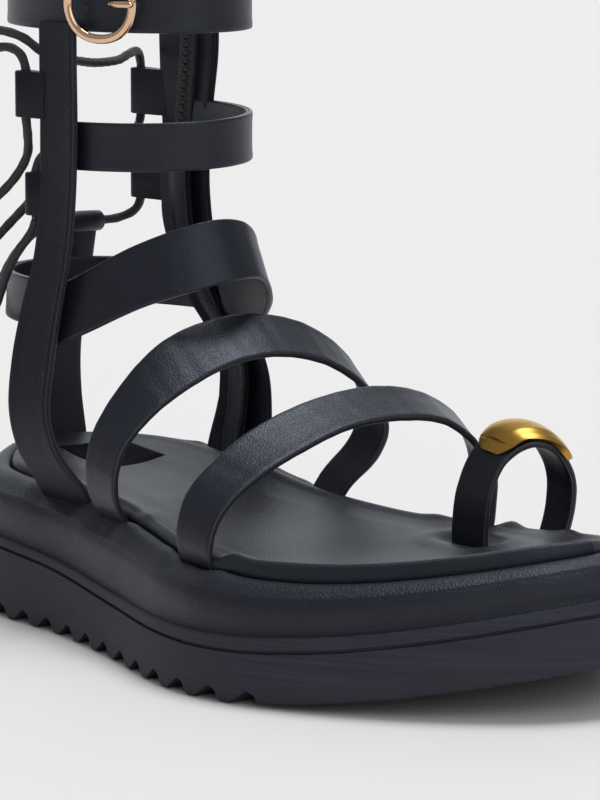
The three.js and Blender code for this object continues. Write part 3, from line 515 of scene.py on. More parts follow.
def sleeve(name, centre, length, axis, finish, bulge=0.25):
    """A folded leather tunnel with rounded lips."""
    profile = [(TUBE_INNER, -1), (TUBE_INNER + 0.35, -1.03), (TUBE_OUTER - 0.3, -1.03), (TUBE_OUTER, -0.97),
               (TUBE_OUTER + bulge * 0.5, -0.6), (TUBE_OUTER + bulge, 0), (TUBE_OUTER + bulge * 0.5, 0.6),
               (TUBE_OUTER, 0.97), (TUBE_OUTER - 0.3, 1.03), (TUBE_INNER + 0.35, 1.03), (TUBE_INNER, 1)]
    axis = np.asarray(axis, float)
    u = unit(np.cross(axis, [0.2, 0.9, 0.3]))
    v = np.cross(axis, u)
    s, ids, sides = Surface(), [], 40
    for r, h in profile:
        a = np.arange(sides) * 2 * np.pi / sides
        ids.append(s.add(np.asarray(centre) + axis * h * length / 2
                         + (np.cos(a)[:, None] * u + np.sin(a)[:, None] * v) * r))
    return loft(name, s, ids, finish, 50, closed=True)


def lace_tab(name, x, y, z0, z1, start, finish):
    """A strip folded round the lace and sewn to the post, thin at the post."""
    reach, half = y - start, 1.05
    tangent = math.acos((TUBE_OUTER - half) / reach)
    arc = np.linspace(tangent, 2 * math.pi - tangent, 40)
    fold = [(-math.cos(a) * TUBE_OUTER, math.sin(a) * TUBE_OUTER) for a in arc]
    outline = [(-reach, half), *fold, (-reach, -half)]
    outline = even(np.array(outline + outline[:1]), 72)[:-1]
    hole = np.array([(-math.cos(a) * TUBE_INNER, math.sin(a) * TUBE_INNER)
                     for a in np.arctan2(outline[:, 1], -outline[:, 0])])
    inward = outline * (1 - 0.28 / np.linalg.norm(outline, axis=1))[:, None]
    s, ids = Surface(), []
    for loop, z in ((hole, z0 + 0.05), (inward, z0), (outline, z0 + 0.3), (outline, (z0 + z1) / 2),
                    (outline, z1 - 0.3), (inward, z1), (hole, z1 - 0.05)):
        ids.append(s.add([(x + v, y + u, z) for u, v in loop]))
    return loft(name, s, ids, finish, 45, closed=True)


def carve(obj, cutter):
    """Cuts one closed piece with another, which is then removed."""
    mod = obj.modifiers.new("cut", "BOOLEAN")
    mod.operation, mod.object, mod.solver = "DIFFERENCE", cutter, "EXACT"
    settle(obj)
    bpy.data.objects.remove(cutter)


def settle(obj):
    """Turns the evaluated shape into the piece's own plain mesh."""
    graph = bpy.context.evaluated_depsgraph_get()
    data = bpy.data.meshes.new_from_object(obj.evaluated_get(graph))
    old = obj.data
    obj.modifiers.clear()
    obj.data = data
    data.name = obj.name
    if old.users == 0:
        bpy.data.meshes.remove(old)


# ---- node trees ----------------------------------------------------------------
def socket_of(sockets, key):
    """A node's socket by its number, or by its name among those in use."""
    if isinstance(key, int):
        return sockets[key]
    return next(s for s in sockets if s.name == key and s.enabled)


def fill(tree, made, sockets, kind):
    """Sets a node's sockets to values, or links them where the value is of the linked kind."""
    for key, value in (sockets or {}).items():
        target = socket_of(made.inputs, key)
        if isinstance(value, kind):
            tree.links.new(getattr(value, "socket", value), target)
        else:
            target.default_value = value


class Sock:
    """A shader value. Arithmetic on it adds Math nodes."""
    def __init__(self, graph, socket):
        self.graph, self.socket = graph, socket

    def _math(self, operation, *values):
        return self.graph.node("Math", {"operation": operation}, dict(enumerate(values)))

    def __add__(self, other):
        return self._math("ADD", self, other)

    def __radd__(self, other):
        return self._math("ADD", other, self)

    def __sub__(self, other):
        return self._math("SUBTRACT", self, other)

    def __rsub__(self, other):
        return self._math("SUBTRACT", other, self)

    def __mul__(self, other):
        return self._math("MULTIPLY", self, other)

    def __rmul__(self, other):
        return self._math("MULTIPLY", other, self)

    def sin(self):
        return self._math("SINE", self)

    def step(self, lo, hi):
        """From 0 at lo to 1 at hi, level at both ends."""
        return self.graph.node("MapRange", {"interpolation_type": "SMOOTHSTEP"},
                               {"Value": self, "From Min": lo, "From Max": hi})


class Graph:
    """One finish's node tree."""
    def __init__(self, name):
        self.material = bpy.data.materials.new(name)
        self.material.use_nodes = True
        self.tree = self.material.node_tree
        self.tree.nodes.clear()
        self.place = self.node("TexCoord", out="Object")

    def node(self, kind, settings=None, sockets=None, out=0):
        """A node of this kind: settings first, then sockets; gives its output."""
        made = self.tree.nodes.new("ShaderNode" + kind)
        for key, value in (settings or {}).items():
            setattr(made, key, value)
        fill(self.tree, made, sockets, Sock)
        return None if out is None else Sock(self, socket_of(made.outputs, out))

    def stretch(self, scale):
        return self.node("Mapping", {"vector_type": "POINT"}, {"Vector": self.place, "Scale": scale})

    def noise(self, scale, detail=2.0, vector=None, roughness=0.55):
        return self.node("TexNoise", None, {"Vector": vector or self.place, "Scale": scale, "Detail": detail,
                                            "Roughness": roughness})

    def cells(self, scale, feature="DISTANCE_TO_EDGE", vector=None):
        return self.node("TexVoronoi", {"feature": feature},
                         {"Vector": vector or self.place, "Scale": scale}, "Distance")

    def note(self, name):
        """The three parts of a vector kept on the piece's points."""
        vector = self.node("Attribute", {"attribute_name": name}, out="Vector")
        return [self.node("SeparateXYZ", None, {0: vector}, i) for i in range(3)]

    def mix(self, factor, a, b):
        return self.node("Mix", {"data_type": "RGBA"}, {"Factor": factor, "A": a, "B": b}, "Result")

    def bump(self, height, distance, strength=1.0, normal=None):
        sockets = {"Height": height, "Distance": distance, "Strength": strength}
        if normal is not None:
            sockets["Normal"] = normal
        return self.node("Bump", None, sockets)

    def surface(self, **sockets):
        """Ends the tree in a principled shader and gives its material."""
        names = {k.replace("_", " "): v for k, v in sockets.items()}
        shader = self.node("BsdfPrincipled", None, names)
        self.node("OutputMaterial", None, {"Surface": shader}, out=None)
        return self.material


def tint(colour, share):
    """The colour made darker or lighter."""
    return (*[c * share for c in colour[:3]], 1.0)


def leather(name, colour, roughness=0.34, grain=1250, grain_depth=0.065, creases=0.6, sheen=0.02,
            shine=0.42):
    """Smooth finished leather: pores, fine creases across the bends, patchy tone, and a painted highlight on
    the strap edges.
    """
    g = Graph(name)
    along, across, edge = g.note("strap")
    warped = g.node("VectorMath", {"operation": "ADD"}, {
        0: g.place, 1: g.node("VectorMath", {"operation": "SCALE"}, {
            0: g.node("TexNoise", None, {"Vector": g.place, "Scale": 420.0, "Detail": 2.0}, "Color"),
            "Scale": 0.0009})})
    pores = g.cells(float(grain), vector=warped).step(0.0, 0.35)
    fine = g.noise(3600.0, 3.0)
    soft = g.noise(120.0, 3.0)
    broad = g.noise(24.0, 2.0)
    fold_place = g.node("CombineXYZ", None, {0: along * 1.6, 1: across * 0.16, 2: 0.0})
    folds = g.noise(1.0, 3.5, fold_place, 0.62)
    fold_mask = g.noise(30.0, 2.0).step(0.42, 0.66)
    height = pores * 0.55 + fine * 0.3 + folds * fold_mask * (creases * 1.6)
    normal = g.bump(height, grain_depth * MM, 0.9)
    normal = g.bump(soft, 0.12 * MM, 0.5, normal)
    worn = soft.step(0.4, 0.75)
    dark = g.mix(worn * 0.6, tint(colour, 0.86), tint(colour, 1.18))
    shade = g.mix(pores * 0.35 + 0.65, tint(colour, 0.55), dark)
    # Painted highlight: the edge faces of the straps get a lighter colour.
    shade = g.mix(edge * 0.75, shade, (0.04, 0.04, 0.044, 1))
    rough = (roughness - 0.1) + broad * 0.1 + fine * 0.1 + (1 - pores) * 0.06 - edge * 0.05
    return g.surface(Base_Color=shade, Roughness=rough, Normal=normal, Specular_IOR_Level=shine,
                     Specular_Tint=(0.82, 0.88, 1.0, 1), Sheen_Weight=sheen, Sheen_Roughness=0.4,
                     Sheen_Tint=(0.6, 0.7, 1.0, 1))


def rubber(name, colour):
    """Moulded foam rubber: matt, with fine level drag lines and small pits."""
    g = Graph(name)
    lines = g.noise(1.0, 4.0, g.stretch((20.0, 20.0, 1000.0)), 0.62).step(0.34, 0.66)
    patch = g.noise(22.0, 2.0)
    pits = g.cells(260.0, "F1").step(0.05, 0.16)
    pit_mask = g.noise(60.0, 1.0).step(0.55, 0.7)
    grain = g.noise(2400.0, 3.0)
    height = lines * (patch.step(0.35, 0.7) * 0.7 + 0.3) + grain * 0.2 - (1 - pits) * pit_mask * 0.35
    normal = g.bump(height, 0.2 * MM, 0.9)
    scuffs = g.noise(1.0, 3.0, g.stretch((60.0, 60.0, 700.0)), 0.7).step(0.55, 0.8)
    shade = g.mix(lines * 0.6 + patch * 0.4, tint(colour, 0.7), tint(colour, 1.45))
    shade = g.mix(scuffs * patch.step(0.45, 0.7) * 0.5, shade, tint(colour, 2.2))
    rough = 0.55 + lines * 0.12 + grain * 0.06
    return g.surface(Base_Color=shade, Roughness=rough, Normal=normal, Specular_IOR_Level=0.3)


def metal(name, colour, roughness):
    """Polished plating with faint polishing lines and a trace of handling."""
    g = Graph(name)
    smear = g.noise(160.0, 3.0)
    lines = g.noise(1.0, 2.0, g.stretch((900.0, 160.0, 160.0)))
    shade = g.mix(smear.step(0.3, 0.8) * 0.5, tint(colour, 1.0), tint(colour, 0.88))
    rough = (roughness - 0.04) + smear * 0.09 + lines * 0.03
    return g.surface(Base_Color=shade, Metallic=1.0, Roughness=rough, Normal=g.bump(lines, 0.004 * MM, 0.5))


def waxed_cord(name, colour):
    """Round waxed cord: fine plaited sleeve and a dull wax bloom."""
    g = Graph(name)
    along, around, _ = g.note("strap")
    a = (along * 4.2 + around * (2 * math.pi * 4)).sin()
    b = (along * 4.2 - around * (2 * math.pi * 4)).sin()
    plait = (a * b) * 0.5 + 0.5
    wax = g.noise(300.0, 3.0)
    normal = g.bump(plait * 0.8 + g.noise(2600.0, 2.0) * 0.3, 0.1 * MM, 0.9)
    shade = g.mix(plait * 0.7 + wax * 0.3, tint(colour, 0.6), tint(colour, 1.4))
    return g.surface(Base_Color=shade, Roughness=0.46 + wax * 0.16, Normal=normal, Sheen_Weight=0.12,
                     Sheen_Roughness=0.5)


def weave(name, colour):
    """Close-woven zip tape."""
    g = Graph(name)
    along, across, _ = g.note("strap")
    warp, weft = (along * 9.0).sin(), (across * 11.0).sin()
    cloth = (warp * weft) * 0.5 + 0.5
    shade = g.mix(cloth, tint(colour, 0.6), tint(colour, 1.5))
    return g.surface(Base_Color=shade, Roughness=0.78 + g.noise(900.0) * 0.1,
                     Normal=g.bump(cloth, 0.12 * MM, 0.9), Sheen_Weight=0.15)


def nylon(name, colour, roughness=0.34):
    """Moulded nylon or sewing thread."""
    g = Graph(name)
    twist = g.noise(1.0, 2.0, g.stretch((2200.0, 2200.0, 900.0)))
    shade = g.mix(twist, tint(colour, 0.8), tint(colour, 1.3))
    return g.surface(Base_Color=shade, Roughness=roughness + twist * 0.12,
                     Normal=g.bump(twist, 0.03 * MM, 0.7))


def studio_floor(name, colour):
    """Matt paper with a trace of unevenness."""
    g = Graph(name)
    cloud = g.noise(1.4, 2.0)
    shade = g.mix(cloud, tint(colour, 0.992), tint(colour, 1.0))
    return g.surface(Base_Color=shade, Roughness=0.85 + cloud * 0.05, Specular_IOR_Level=0.15)


_finishes = {}


def finish(name):
    """The named finish, made once."""
    if name not in _finishes:
        c = bpy.context.scene.sandal_colours
        makers = {
            "leather": lambda: leather("black leather", c.leather),
            "pad leather": lambda: leather("pad leather", c.leather, 0.42, 1050, 0.12, 0.3),
            "lining": lambda: leather("insole leather", c.insole, 0.4, 1300, 0.08, 0.2, shine=0.37),
            "label": lambda: leather("label patch", tint(c.insole, 0.35), 0.7, 2600, 0.03, 0.0, 0.0, 0.03),
            "post leather": lambda: leather("post leather", c.leather, 0.4, shine=0.16),
            "rubber": lambda: rubber("moulded rubber", c.rubber),
            "gold": lambda: metal("yellow gold plating", c.gold, 0.3),
            "pale gold": lambda: metal("pale gold plating", c.pale_gold, 0.09),
            "cord": lambda: waxed_cord("waxed cord", c.cord),
            "tape": lambda: weave("zip tape", c.cord),
            "teeth": lambda: nylon("zip coil", c.cord),
            "thread": lambda: nylon("thread", tint(c.leather, 1.5), 0.5),
        }
        _finishes[name] = makers[name]()
    return _finishes[name]


def scatter_tree():
    """Geometry nodes: a pill on every point, all of one given size, turned by the point's own values."""
    tree = bpy.data.node_groups.new("pills on points", "GeometryNodeTree")
    face = tree.interface
    face.new_socket("Geometry", in_out="INPUT", socket_type="NodeSocketGeometry")
    face.new_socket("Size", in_out="INPUT", socket_type="NodeSocketVector")
    face.new_socket("Finish", in_out="INPUT", socket_type="NodeSocketMaterial")
    face.new_socket("Geometry", in_out="OUTPUT", socket_type="NodeSocketGeometry")

    def node(kind, settings=None, sockets=None):
        made = tree.nodes.new(kind)
        for key, value in (settings or {}).items():
            setattr(made, key, value)
        fill(tree, made, sockets, bpy.types.NodeSocket)
        return made

    given = node("NodeGroupInput")
    pill = node("GeometryNodeMeshUVSphere", None, {"Segments": 10, "Rings": 6, "Radius": 1.0})
    smooth = node("GeometryNodeSetShadeSmooth", None, {0: pill.outputs["Mesh"]})
    sized = node("GeometryNodeTransform", None, {
        "Geometry": smooth.outputs[0], "Scale": given.outputs["Size"]})
    turn = node("GeometryNodeInputNamedAttribute", {"data_type": "FLOAT_VECTOR"}, {"Name": "turn"})
    rotation = node("FunctionNodeEulerToRotation", None, {0: turn.outputs[0]})
    spread = node("GeometryNodeInstanceOnPoints", None, {
        "Points": given.outputs["Geometry"], "Instance": sized.outputs["Geometry"],
        "Rotation": rotation.outputs[0]})
    real = node("GeometryNodeRealizeInstances", None, {0: spread.outputs[0]})
    coloured = node("GeometryNodeSetMaterial", None, {
        "Geometry": real.outputs[0], "Material": given.outputs["Finish"]})
    node("NodeGroupOutput", None, {"Geometry": coloured.outputs[0]})
    return tree


def pills(name, points, turns, size, material):
    """Many small alike pieces, such as stitches or coil teeth, on given points."""
    tree = bpy.data.node_groups.get("pills on points") or scatter_tree()
    data = bpy.data.meshes.new(name)
    world = (np.asarray(points, float) + np.array([CENTRE_SHIFT, 0, 0])) * MM
    data.from_pydata(world.tolist(), [], [])
    add_note(data, "turn", turns)
    obj = bpy.data.objects.new(name, data)
    bpy.context.scene.collection.objects.link(obj)
    mod = obj.modifiers.new("pills", "NODES")
    mod.node_group = tree
    keys = {i.name: i.identifier for i in tree.interface.items_tree if i.in_out == "INPUT"}
    mod[keys["Size"]] = tuple(s * MM for s in size)
    mod[keys["Finish"]] = material
    settle(obj)
    return obj


def turns_from(axes):
    """Euler turns from pairs of directions: X follows the first, Z is as near the second as it can be."""
    out = []
    for x, z in axes:
        x = Vector(x).normalized()
        y = Vector(z).cross(x).normalized()
        z = x.cross(y)
        out.append(Matrix((x, y, z)).transposed().to_euler("XYZ"))
    return np.array(out)


# ---- properties ------------------------------------------------------------------
def colour(name, text, value):
    return bpy.props.FloatVectorProperty(name=name, description=text, default=(*value, 1.0), size=4,
                                         min=0.0, max=1.0, subtype="COLOR")


def size(name, text, value):
    return bpy.props.FloatProperty(name=name, description=text, default=value * MM, min=0.0,
                                   unit="LENGTH", subtype="DISTANCE")


class SandalColours(bpy.types.PropertyGroup):
    leather: colour("Leather", "Straps, cage and padded rim", (0.0108, 0.0111, 0.0172))
    insole: colour("Insole", "Leather under the foot", (0.0115, 0.0125, 0.018))
    rubber: colour("Rubber", "Moulded platform", (0.0245, 0.0247, 0.0362))
    gold: colour("Toe cap", "Plating of the toe ring's cap", (0.49, 0.28, 0.055))
    pale_gold: colour("Buckle", "Plating of the buckle", (0.8, 0.53, 0.34))
    cord: colour("Lace", "Waxed cord and zip", (0.011, 0.0115, 0.015))
    floor: colour("Floor", "Studio floor", (0.915, 0.875, 0.833))


class SandalSizes(bpy.types.PropertyGroup):
    tooth_depth: size("Tooth depth", "Depth of the notches under the sole", 4.2)
    tooth_pitch: size("Tooth pitch", "From one notch to the next", 12.36)
    tooth_mouth: size("Notch mouth", "Width of each notch at the floor", 10.4)
    dish: size("Insole dish", "How far the insole sinks in its middle", 1.3)
    lace: size("Lace diameter", "Diameter of the round lace", 2.6)
    label_wide: size("Label width", "Bare patch at the heel of the insole", 21.5)
    label_long: size("Label length", "Bare patch at the heel of the insole", 24.0)
    zip_wide: size("Zip width", "Tape between the post's two strips", 6.4)
    coil_pitch: size("Coil pitch", "From one zip tooth to the next", 1.15)
    stitch: size("Stitch spacing", "From one stitch to the next", 2.6)


def sizes():
    """The sizes in millimetres."""
    s = bpy.context.scene.sandal_sizes
    return {k: getattr(s, k) / MM for k in SandalSizes.__annotations__}


def keep(obj, slot, *nodes):
    """Gives a piece its body and hides the CAD nodes that it stands for; slot is not used."""
    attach(obj, "root")
    if nodes:
        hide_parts(*nodes)
    return obj


# ---- operators -------------------------------------------------------------------
class SANDAL_OT_stage(bpy.types.Operator):
    """Floor, soft studio light and camera"""
    bl_idname = "sandal.stage"
    bl_label = "Stage"

    def execute(self, context):
        scene = context.scene
        floor_data = bpy.data.meshes.new("floor")
        corners = [(x * FLOOR_EDGE, y * FLOOR_EDGE, 0) for x, y in ((-1, -1), (1, -1), (1, 1), (-1, 1))]
        floor_data.from_pydata(corners, [], [(0, 1, 2, 3)])
        floor = bpy.data.objects.new("floor", floor_data)
        floor.data.materials.append(studio_floor("studio floor", scene.sandal_colours.floor))
        scene.collection.objects.link(floor)
        world = bpy.data.worlds.new("studio")
        scene.world = world
        world.use_nodes = True
        sky = world.node_tree.nodes["Background"]
        sky.inputs["Color"].default_value = SKY_COLOUR
        sky.inputs["Strength"].default_value = SKY_STRENGTH
        for name, round_to, up, wide, power in LIGHTS:
            light = bpy.data.lights.new(name, "SUN")
            light.angle, light.energy, light.color = math.radians(wide), power, LAMP_COLOUR
            lamp = bpy.data.objects.new(name, light)
            a, b = math.radians(round_to), math.radians(up)
            towards = Vector((math.sin(a) * math.cos(b), -math.cos(a) * math.cos(b), math.sin(b)))
            lamp.rotation_euler = towards.to_track_quat("Z", "Y").to_euler()
            lamp.location = towards
            scene.collection.objects.link(lamp)
        turn, rise = math.radians(CAMERA["turn"]), math.radians(CAMERA["rise"])
        back = Vector((-math.sin(turn) * math.cos(rise), -math.cos(turn) * math.cos(rise), math.sin(rise)))
        x, y, z = CAMERA["aim"]
        aim = Vector((x + CENTRE_SHIFT, y, z)) * MM
        lens = bpy.data.cameras.new("camera")
        lens.sensor_fit, lens.sensor_height, lens.lens = "VERTICAL", 36.0, CAMERA["lens"]
        lens.shift_y = CAMERA["shift"]
        camera = bpy.data.objects.new("camera", lens)
        camera.location = aim + back * CAMERA["reach"]
        camera.rotation_euler = back.to_track_quat("Z", "Y").to_euler()
        scene.collection.objects.link(camera)
        scene.camera = camera
        scene.view_settings.view_transform = "Standard"
        return {"FINISHED"}


class SANDAL_OT_sole(bpy.types.Operator):
    """Moulded platform with its groove, lip and toothed underside"""
    bl_idname = "sandal.sole"
    bl_label = "Platform sole"

    def execute(self, context):
        s = sizes()
        outline = sole_outline(150)

        def ring(d, height):
            flat = inset(outline, np.full(len(outline), d))
            return np.c_[flat, height(flat[:, 0], flat[:, 1])]

        def wall(share, plus=0.0):
            return lambda x, y: spring_at(y) + (groove_level(x, y) - spring_at(y)) * share + plus

        def lip(drop):
            return lambda x, y: band_top(x, y) + drop

        rings = [ring(d, wall(0, plus)) for d, plus in FOOT_EDGE]
        for k in (0.05, 0.25, 0.5, 0.75, 0.95):
            rings.append(ring(-0.2 * math.sin(math.pi * k), wall(0.1 + 0.88 * k)))
        rings += [ring(d, wall(1, plus)) for d, plus in GROOVE_EDGE]
        rings += [ring(d, lip(drop)) for d, drop in LIP_EDGE]
        data = ring_body("outsole", rings, 12, lambda x, y, t, z: spring_at(y),
                         lambda x, y, t, z: band_top(x, y) - 0.35)
        sole = piece("outsole_moulded", data, finish("rubber"), 32)
        teeth = Surface()
        half, crest = s["tooth_mouth"] / 2, s["tooth_mouth"] * 0.12
        depth = s["tooth_depth"]
        right = spline([(half, 0, 0), (half - 0.55, depth * 0.4, 0), (half - 1.6, depth * 0.8, 0),
                        (crest + 0.9, depth * 0.985, 0)], 10)[:, :2]
        left = spline([(crest + 0.1, depth, 0), (crest - 0.9, depth * 0.86, 0), (-half + 2.2, depth * 0.3, 0),
                       (-half, 0, 0)], 10)[:, :2]
        profile = np.r_[[(-half, -2.0), (half, -2.0)], right, left]
        for i in range(NOTCHES):
            centre = SOLE_LENGTH / 2 - (FIRST_TOOTH + (i - 0.5) * s["tooth_pitch"])
            line = np.stack([0 * profile[:, 0], centre - profile[:, 0], profile[:, 1]], -1)
            a, b = (teeth.add(line + [x, 0, 0]) for x in (-NOTCH_REACH, NOTCH_REACH))
            teeth.bridge(a, b)
            teeth.faces += [tuple(a[::-1]), tuple(b)]
        cutter = piece("notches", teeth.mesh("notches"), finish("rubber"))
        carve(sole, cutter)
        sole.data.set_sharp_from_angle(angle=math.radians(32))
        keep(sole, "outsole_rubber", "outsole")
        return {"FINISHED"}


def board_hollow(y):
    """How hollow the insole is: nearly flat under the heel."""
    return 0.35 + 0.65 * smoothstep(along_sole(y), 40, 120)


def board_lip(x, y):
    """Extra height of the board's edge round the outer forefoot and toe."""
    return 2.3 * smoothstep(along_sole(y), 135, 195) * (1 - smoothstep(x, -5, 34))


def board_dimples(x, y):
    """Soft hollows in the insole where a strap goes in, and the swelling beside them."""
    change = np.zeros(np.shape(x))
    for fx, fy, half in HOLLOWS:
        far = np.hypot(x - fx, np.maximum(np.abs(y - fy) - half, 0))
        change -= 1.3 * np.exp(-(far / 3.0) ** 2)
        change += 0.75 * np.exp(-((far - 7.5) / 3.5) ** 2)
    return change


class SANDAL_OT_footbed(bpy.types.Operator):
    """Padded rim, insole board and its bare label patch"""
    bl_idname = "sandal.footbed"
    bl_label = "Footbed"

    def execute(self, context):
        s = sizes()
        outline = sole_outline(170)
        seam = inset_at(along_sole(outline[:, 1]))
        back = along_sole(outline[:, 1])
        wobble = np.sin(back * 0.11) * 0.14 + np.sin(back * 0.37 + 1) * 0.06

        def base(x, y, *_):
            return band_top(x, y) - 0.2

        rings = []
        for share, plus, rise in spline(RIM_ROLL, 44):
            flat = inset(outline, seam * share + plus + wobble * smoothstep(rise, 0.1, 0.5))
            x, y = flat[:, 0], flat[:, 1]
            z = base(x, y) + (seam_level(x, y) - base(x, y)) * rise
            for fx, fy, half in STRAP_FEET:
                near = np.hypot(x - fx, np.maximum(np.abs(y - fy) - half * 0.6, 0))
                z -= 1.1 * np.exp(-(near / 5.0) ** 2) * smoothstep(rise, 0.5, 0.95)
                beside = np.hypot((x - fx) * 0.9, np.abs(np.abs(y - fy) - half - 4.5))
                z += 0.45 * np.exp(-(beside / 4.0) ** 2) * smoothstep(rise, 0.5, 0.95)
            rings.append(np.c_[x, y, z])
        floor = inset(outline, seam * 1.01)
        rings.append(np.c_[floor, seam_level(floor[:, 0], floor[:, 1]) - INSOLE_THICK])
        data = ring_body("pad", rings, 8, base, lambda x, y, t, z: seam_level(x, y) - INSOLE_THICK)
        pad = keep(piece("footbed_rim", data, finish("pad leather"), 40), "black_leather", "footbed_pad")

        rings = [np.c_[inset(outline, seam + 0.5), np.zeros(len(outline))]]
        rings[0][:, 2] = seam_level(rings[0][:, 0], rings[0][:, 1]) - BOARD_DEEP
        for d, drop in spline(BOARD_EDGE, 44):
            flat = inset(outline, seam + d)
            x, y = flat[:, 0], flat[:, 1]
            lip = board_lip(x, y) * (1 - smoothstep(d, 2.5, 15))
            fall = drop if d < 3 else drop * board_hollow(y)
            rounded = 1 - smoothstep(drop, 0, 3.2) if d < 3 else 1.0
            level = seam_level(x, y) + board_rise(y) - fall + lip * rounded
            rings.append(np.c_[flat, level + board_dimples(x, y) * smoothstep(d, 0.6, 2)])

        def dished(x, y, t, z):
            bowl = np.sin(np.pi * t)
            ripple = 0.18 * np.sin(y * 0.05 + 0.6) * bowl
            sunk = (1.5 + s["dish"] * bowl) * board_hollow(y)
            return seam_level(x, y) + board_rise(y) - sunk + ripple + board_dimples(x, y)

        data = ring_body("insole", rings, 40, lambda x, y, t, z: seam_level(x, y) - BOARD_DEEP, dished)
        board = piece("insole_board_covered", data, finish("lining"), 40)
        keep(board, "insole_leather", "insole_board")
        self.label(board, s["label_wide"], s["label_long"])
        return {"FINISHED"}

    def label(self, board, wide, long):
        """A bare patch that lies on the insole at the heel."""
        below = Surface()
        nx, ny = 24, 26

        def drop_on(x, y):
            above = Vector(((x + CENTRE_SHIFT) * MM, y * MM, 0.08))
            hit, place, *_ = board.ray_cast(above, Vector((0, 0, -1)))
            if not hit:
                raise RuntimeError("the label patch reaches past the insole")
            return place.z / MM

        x0, y0 = LABEL_CORNER
        xs, ys = np.linspace(x0, x0 + wide, nx), np.linspace(y0, y0 + long, ny)

        def rounding(i, j):
            d = min(i, nx - 1 - i, j, ny - 1 - j)
            return (0.0, 0.16, 0.22)[min(d, 2)]

        top = [[(x, y, drop_on(x, y) + 0.05 + rounding(i, j)) for i, x in enumerate(xs)]
               for j, y in enumerate(ys)]
        low = [[(x, y, z - 0.5) for x, y, z in row] for row in top]
        up_ids = below.add(np.array(top).reshape(-1, 3)).reshape(ny, nx)
        low_ids = below.add(np.array(low).reshape(-1, 3)).reshape(ny, nx)
        for j in range(ny - 1):
            for i in range(nx - 1):
                corners = ((j, i), (j, i + 1), (j + 1, i + 1), (j + 1, i))
                below.faces.append(tuple(up_ids[c] for c in corners))
                below.faces.append(tuple(low_ids[c] for c in (corners[0], *corners[:0:-1])))
        low_rim, up_rim = (np.r_[ids[0, :-1], ids[:-1, -1], ids[-1, :0:-1], ids[:0:-1, 0]]
                           for ids in (low_ids, up_ids))
        below.bridge(low_rim, up_rim)
        keep(piece("label_patch", below.mesh("label"), finish("label"), 50), "insole_leather")


class SANDAL_OT_foot_straps(bpy.types.Operator):
    """Front strap and instep strap"""
    bl_idname = "sandal.foot_straps"
    bl_label = "Foot straps"

    def execute(self, context):
        front = strap("front_strap_leather", rails_of(FRONT_STRAP, 150), bent_over(0, -28, 30),
                      finish("leather"), waves=0.05)
        keep(front, "black_leather", "front_strap")
        instep = strap("instep_strap_leather", rails_of(INSTEP_STRAP, 170), bent_over(0, 18, 34),
                       finish("leather"), waves=0.06)
        keep(instep, "black_leather", "instep_strap")
        return {"FINISHED"}


class SANDAL_OT_toe_ring(bpy.types.Operator):
    """Toe ring and its metal crescent"""
    bl_idname = "sandal.toe_ring"
    bl_label = "Toe ring"

    def execute(self, context):
        ring = strap("toe_ring_leather", rails_of(RING_STRAP, 110), bent_over(36.5, -55, 42),
                     finish("leather"), waves=0.03)
        keep(ring, "black_leather", "toe_ring")
        a, b = rails_of(CAP_ROWS, 150)
        _, width, across, normal = band_frame(a, b, bent_over(36.5, -56, 42))
        s, ids = Surface(), []
        k = np.linspace(0, 1, 19)
        for i, t in enumerate(np.arange(len(a)) / (len(a) - 1)):
            swell = 0.3 + 1.9 * math.sin(math.pi * min(max(t, 0.02), 0.98)) ** 0.8 * (0.8 + 0.35 * t)
            dome = np.sin(np.pi * k ** 0.85) ** 0.7 * swell
            ridge = 0.22 * np.exp(-((k - 0.7) / 0.045) ** 2)
            dome += ridge * smoothstep(t, 0.12, 0.3) * (1 - smoothstep(t, 0.6, 0.85))
            dome *= 0.7 + 0.3 * smoothstep(t, 0.115, 0.135)
            dome -= 0.6 * np.clip(1 - np.abs(t - 0.125) / 0.013, 0, 1) * np.sin(np.pi * k)
            outer = a[i] + across[i] * (width[i] * k)[:, None] + normal[i] * (0.75 + dome)[:, None]
            back = 0.02 + 0.96 * k[::-1]
            under = 0.3 - 1.2 * smoothstep(back, 0.6, 1) * smoothstep(t, 0.45, 0.8)
            inner = a[i] + across[i] * (width[i] * back)[:, None] + normal[i] * under[:, None]
            ids.append(s.add(np.r_[outer, inner]))
        keep(loft("toe_cap_crescent", s, ids, finish("gold"), 40), "gold_metal", "toe_ring_cap")
        return {"FINISHED"}


def ring_rails(turns, high, low, upper=CAGE_OVAL, lower=CAGE_OVAL):
    """Upper and lower rails of a strap round the leg, each on its own oval."""
    return on_ellipse(turns, *upper, high), on_ellipse(turns, *lower, low)


def ring_out(angle):
    """Straight out from the cage's oval, at degrees from the front."""
    a = math.radians(angle)
    return unit(np.array([math.sin(a) / CAGE_OVAL[2], -math.cos(a) / CAGE_OVAL[1], 0]))


def post_rails(table, count):
    """A post's front and rear edges."""
    return rails_of([((r[0], r[3], r[1]), (r[0], r[2], r[1])) for r in table], count)


def zip_rows(wide):
    """Rows of a strip this wide along the zip's line."""
    rows = [((r[0], r[4] + wide / 2, r[1]), (r[0], r[4] - wide / 2, r[1])) for r in MEDIAL_POST[1:10]]
    rows.append(((28.7, 80.2 + wide / 2, 165), (28.7, 80.2 - wide / 2, 165)))
    return rows


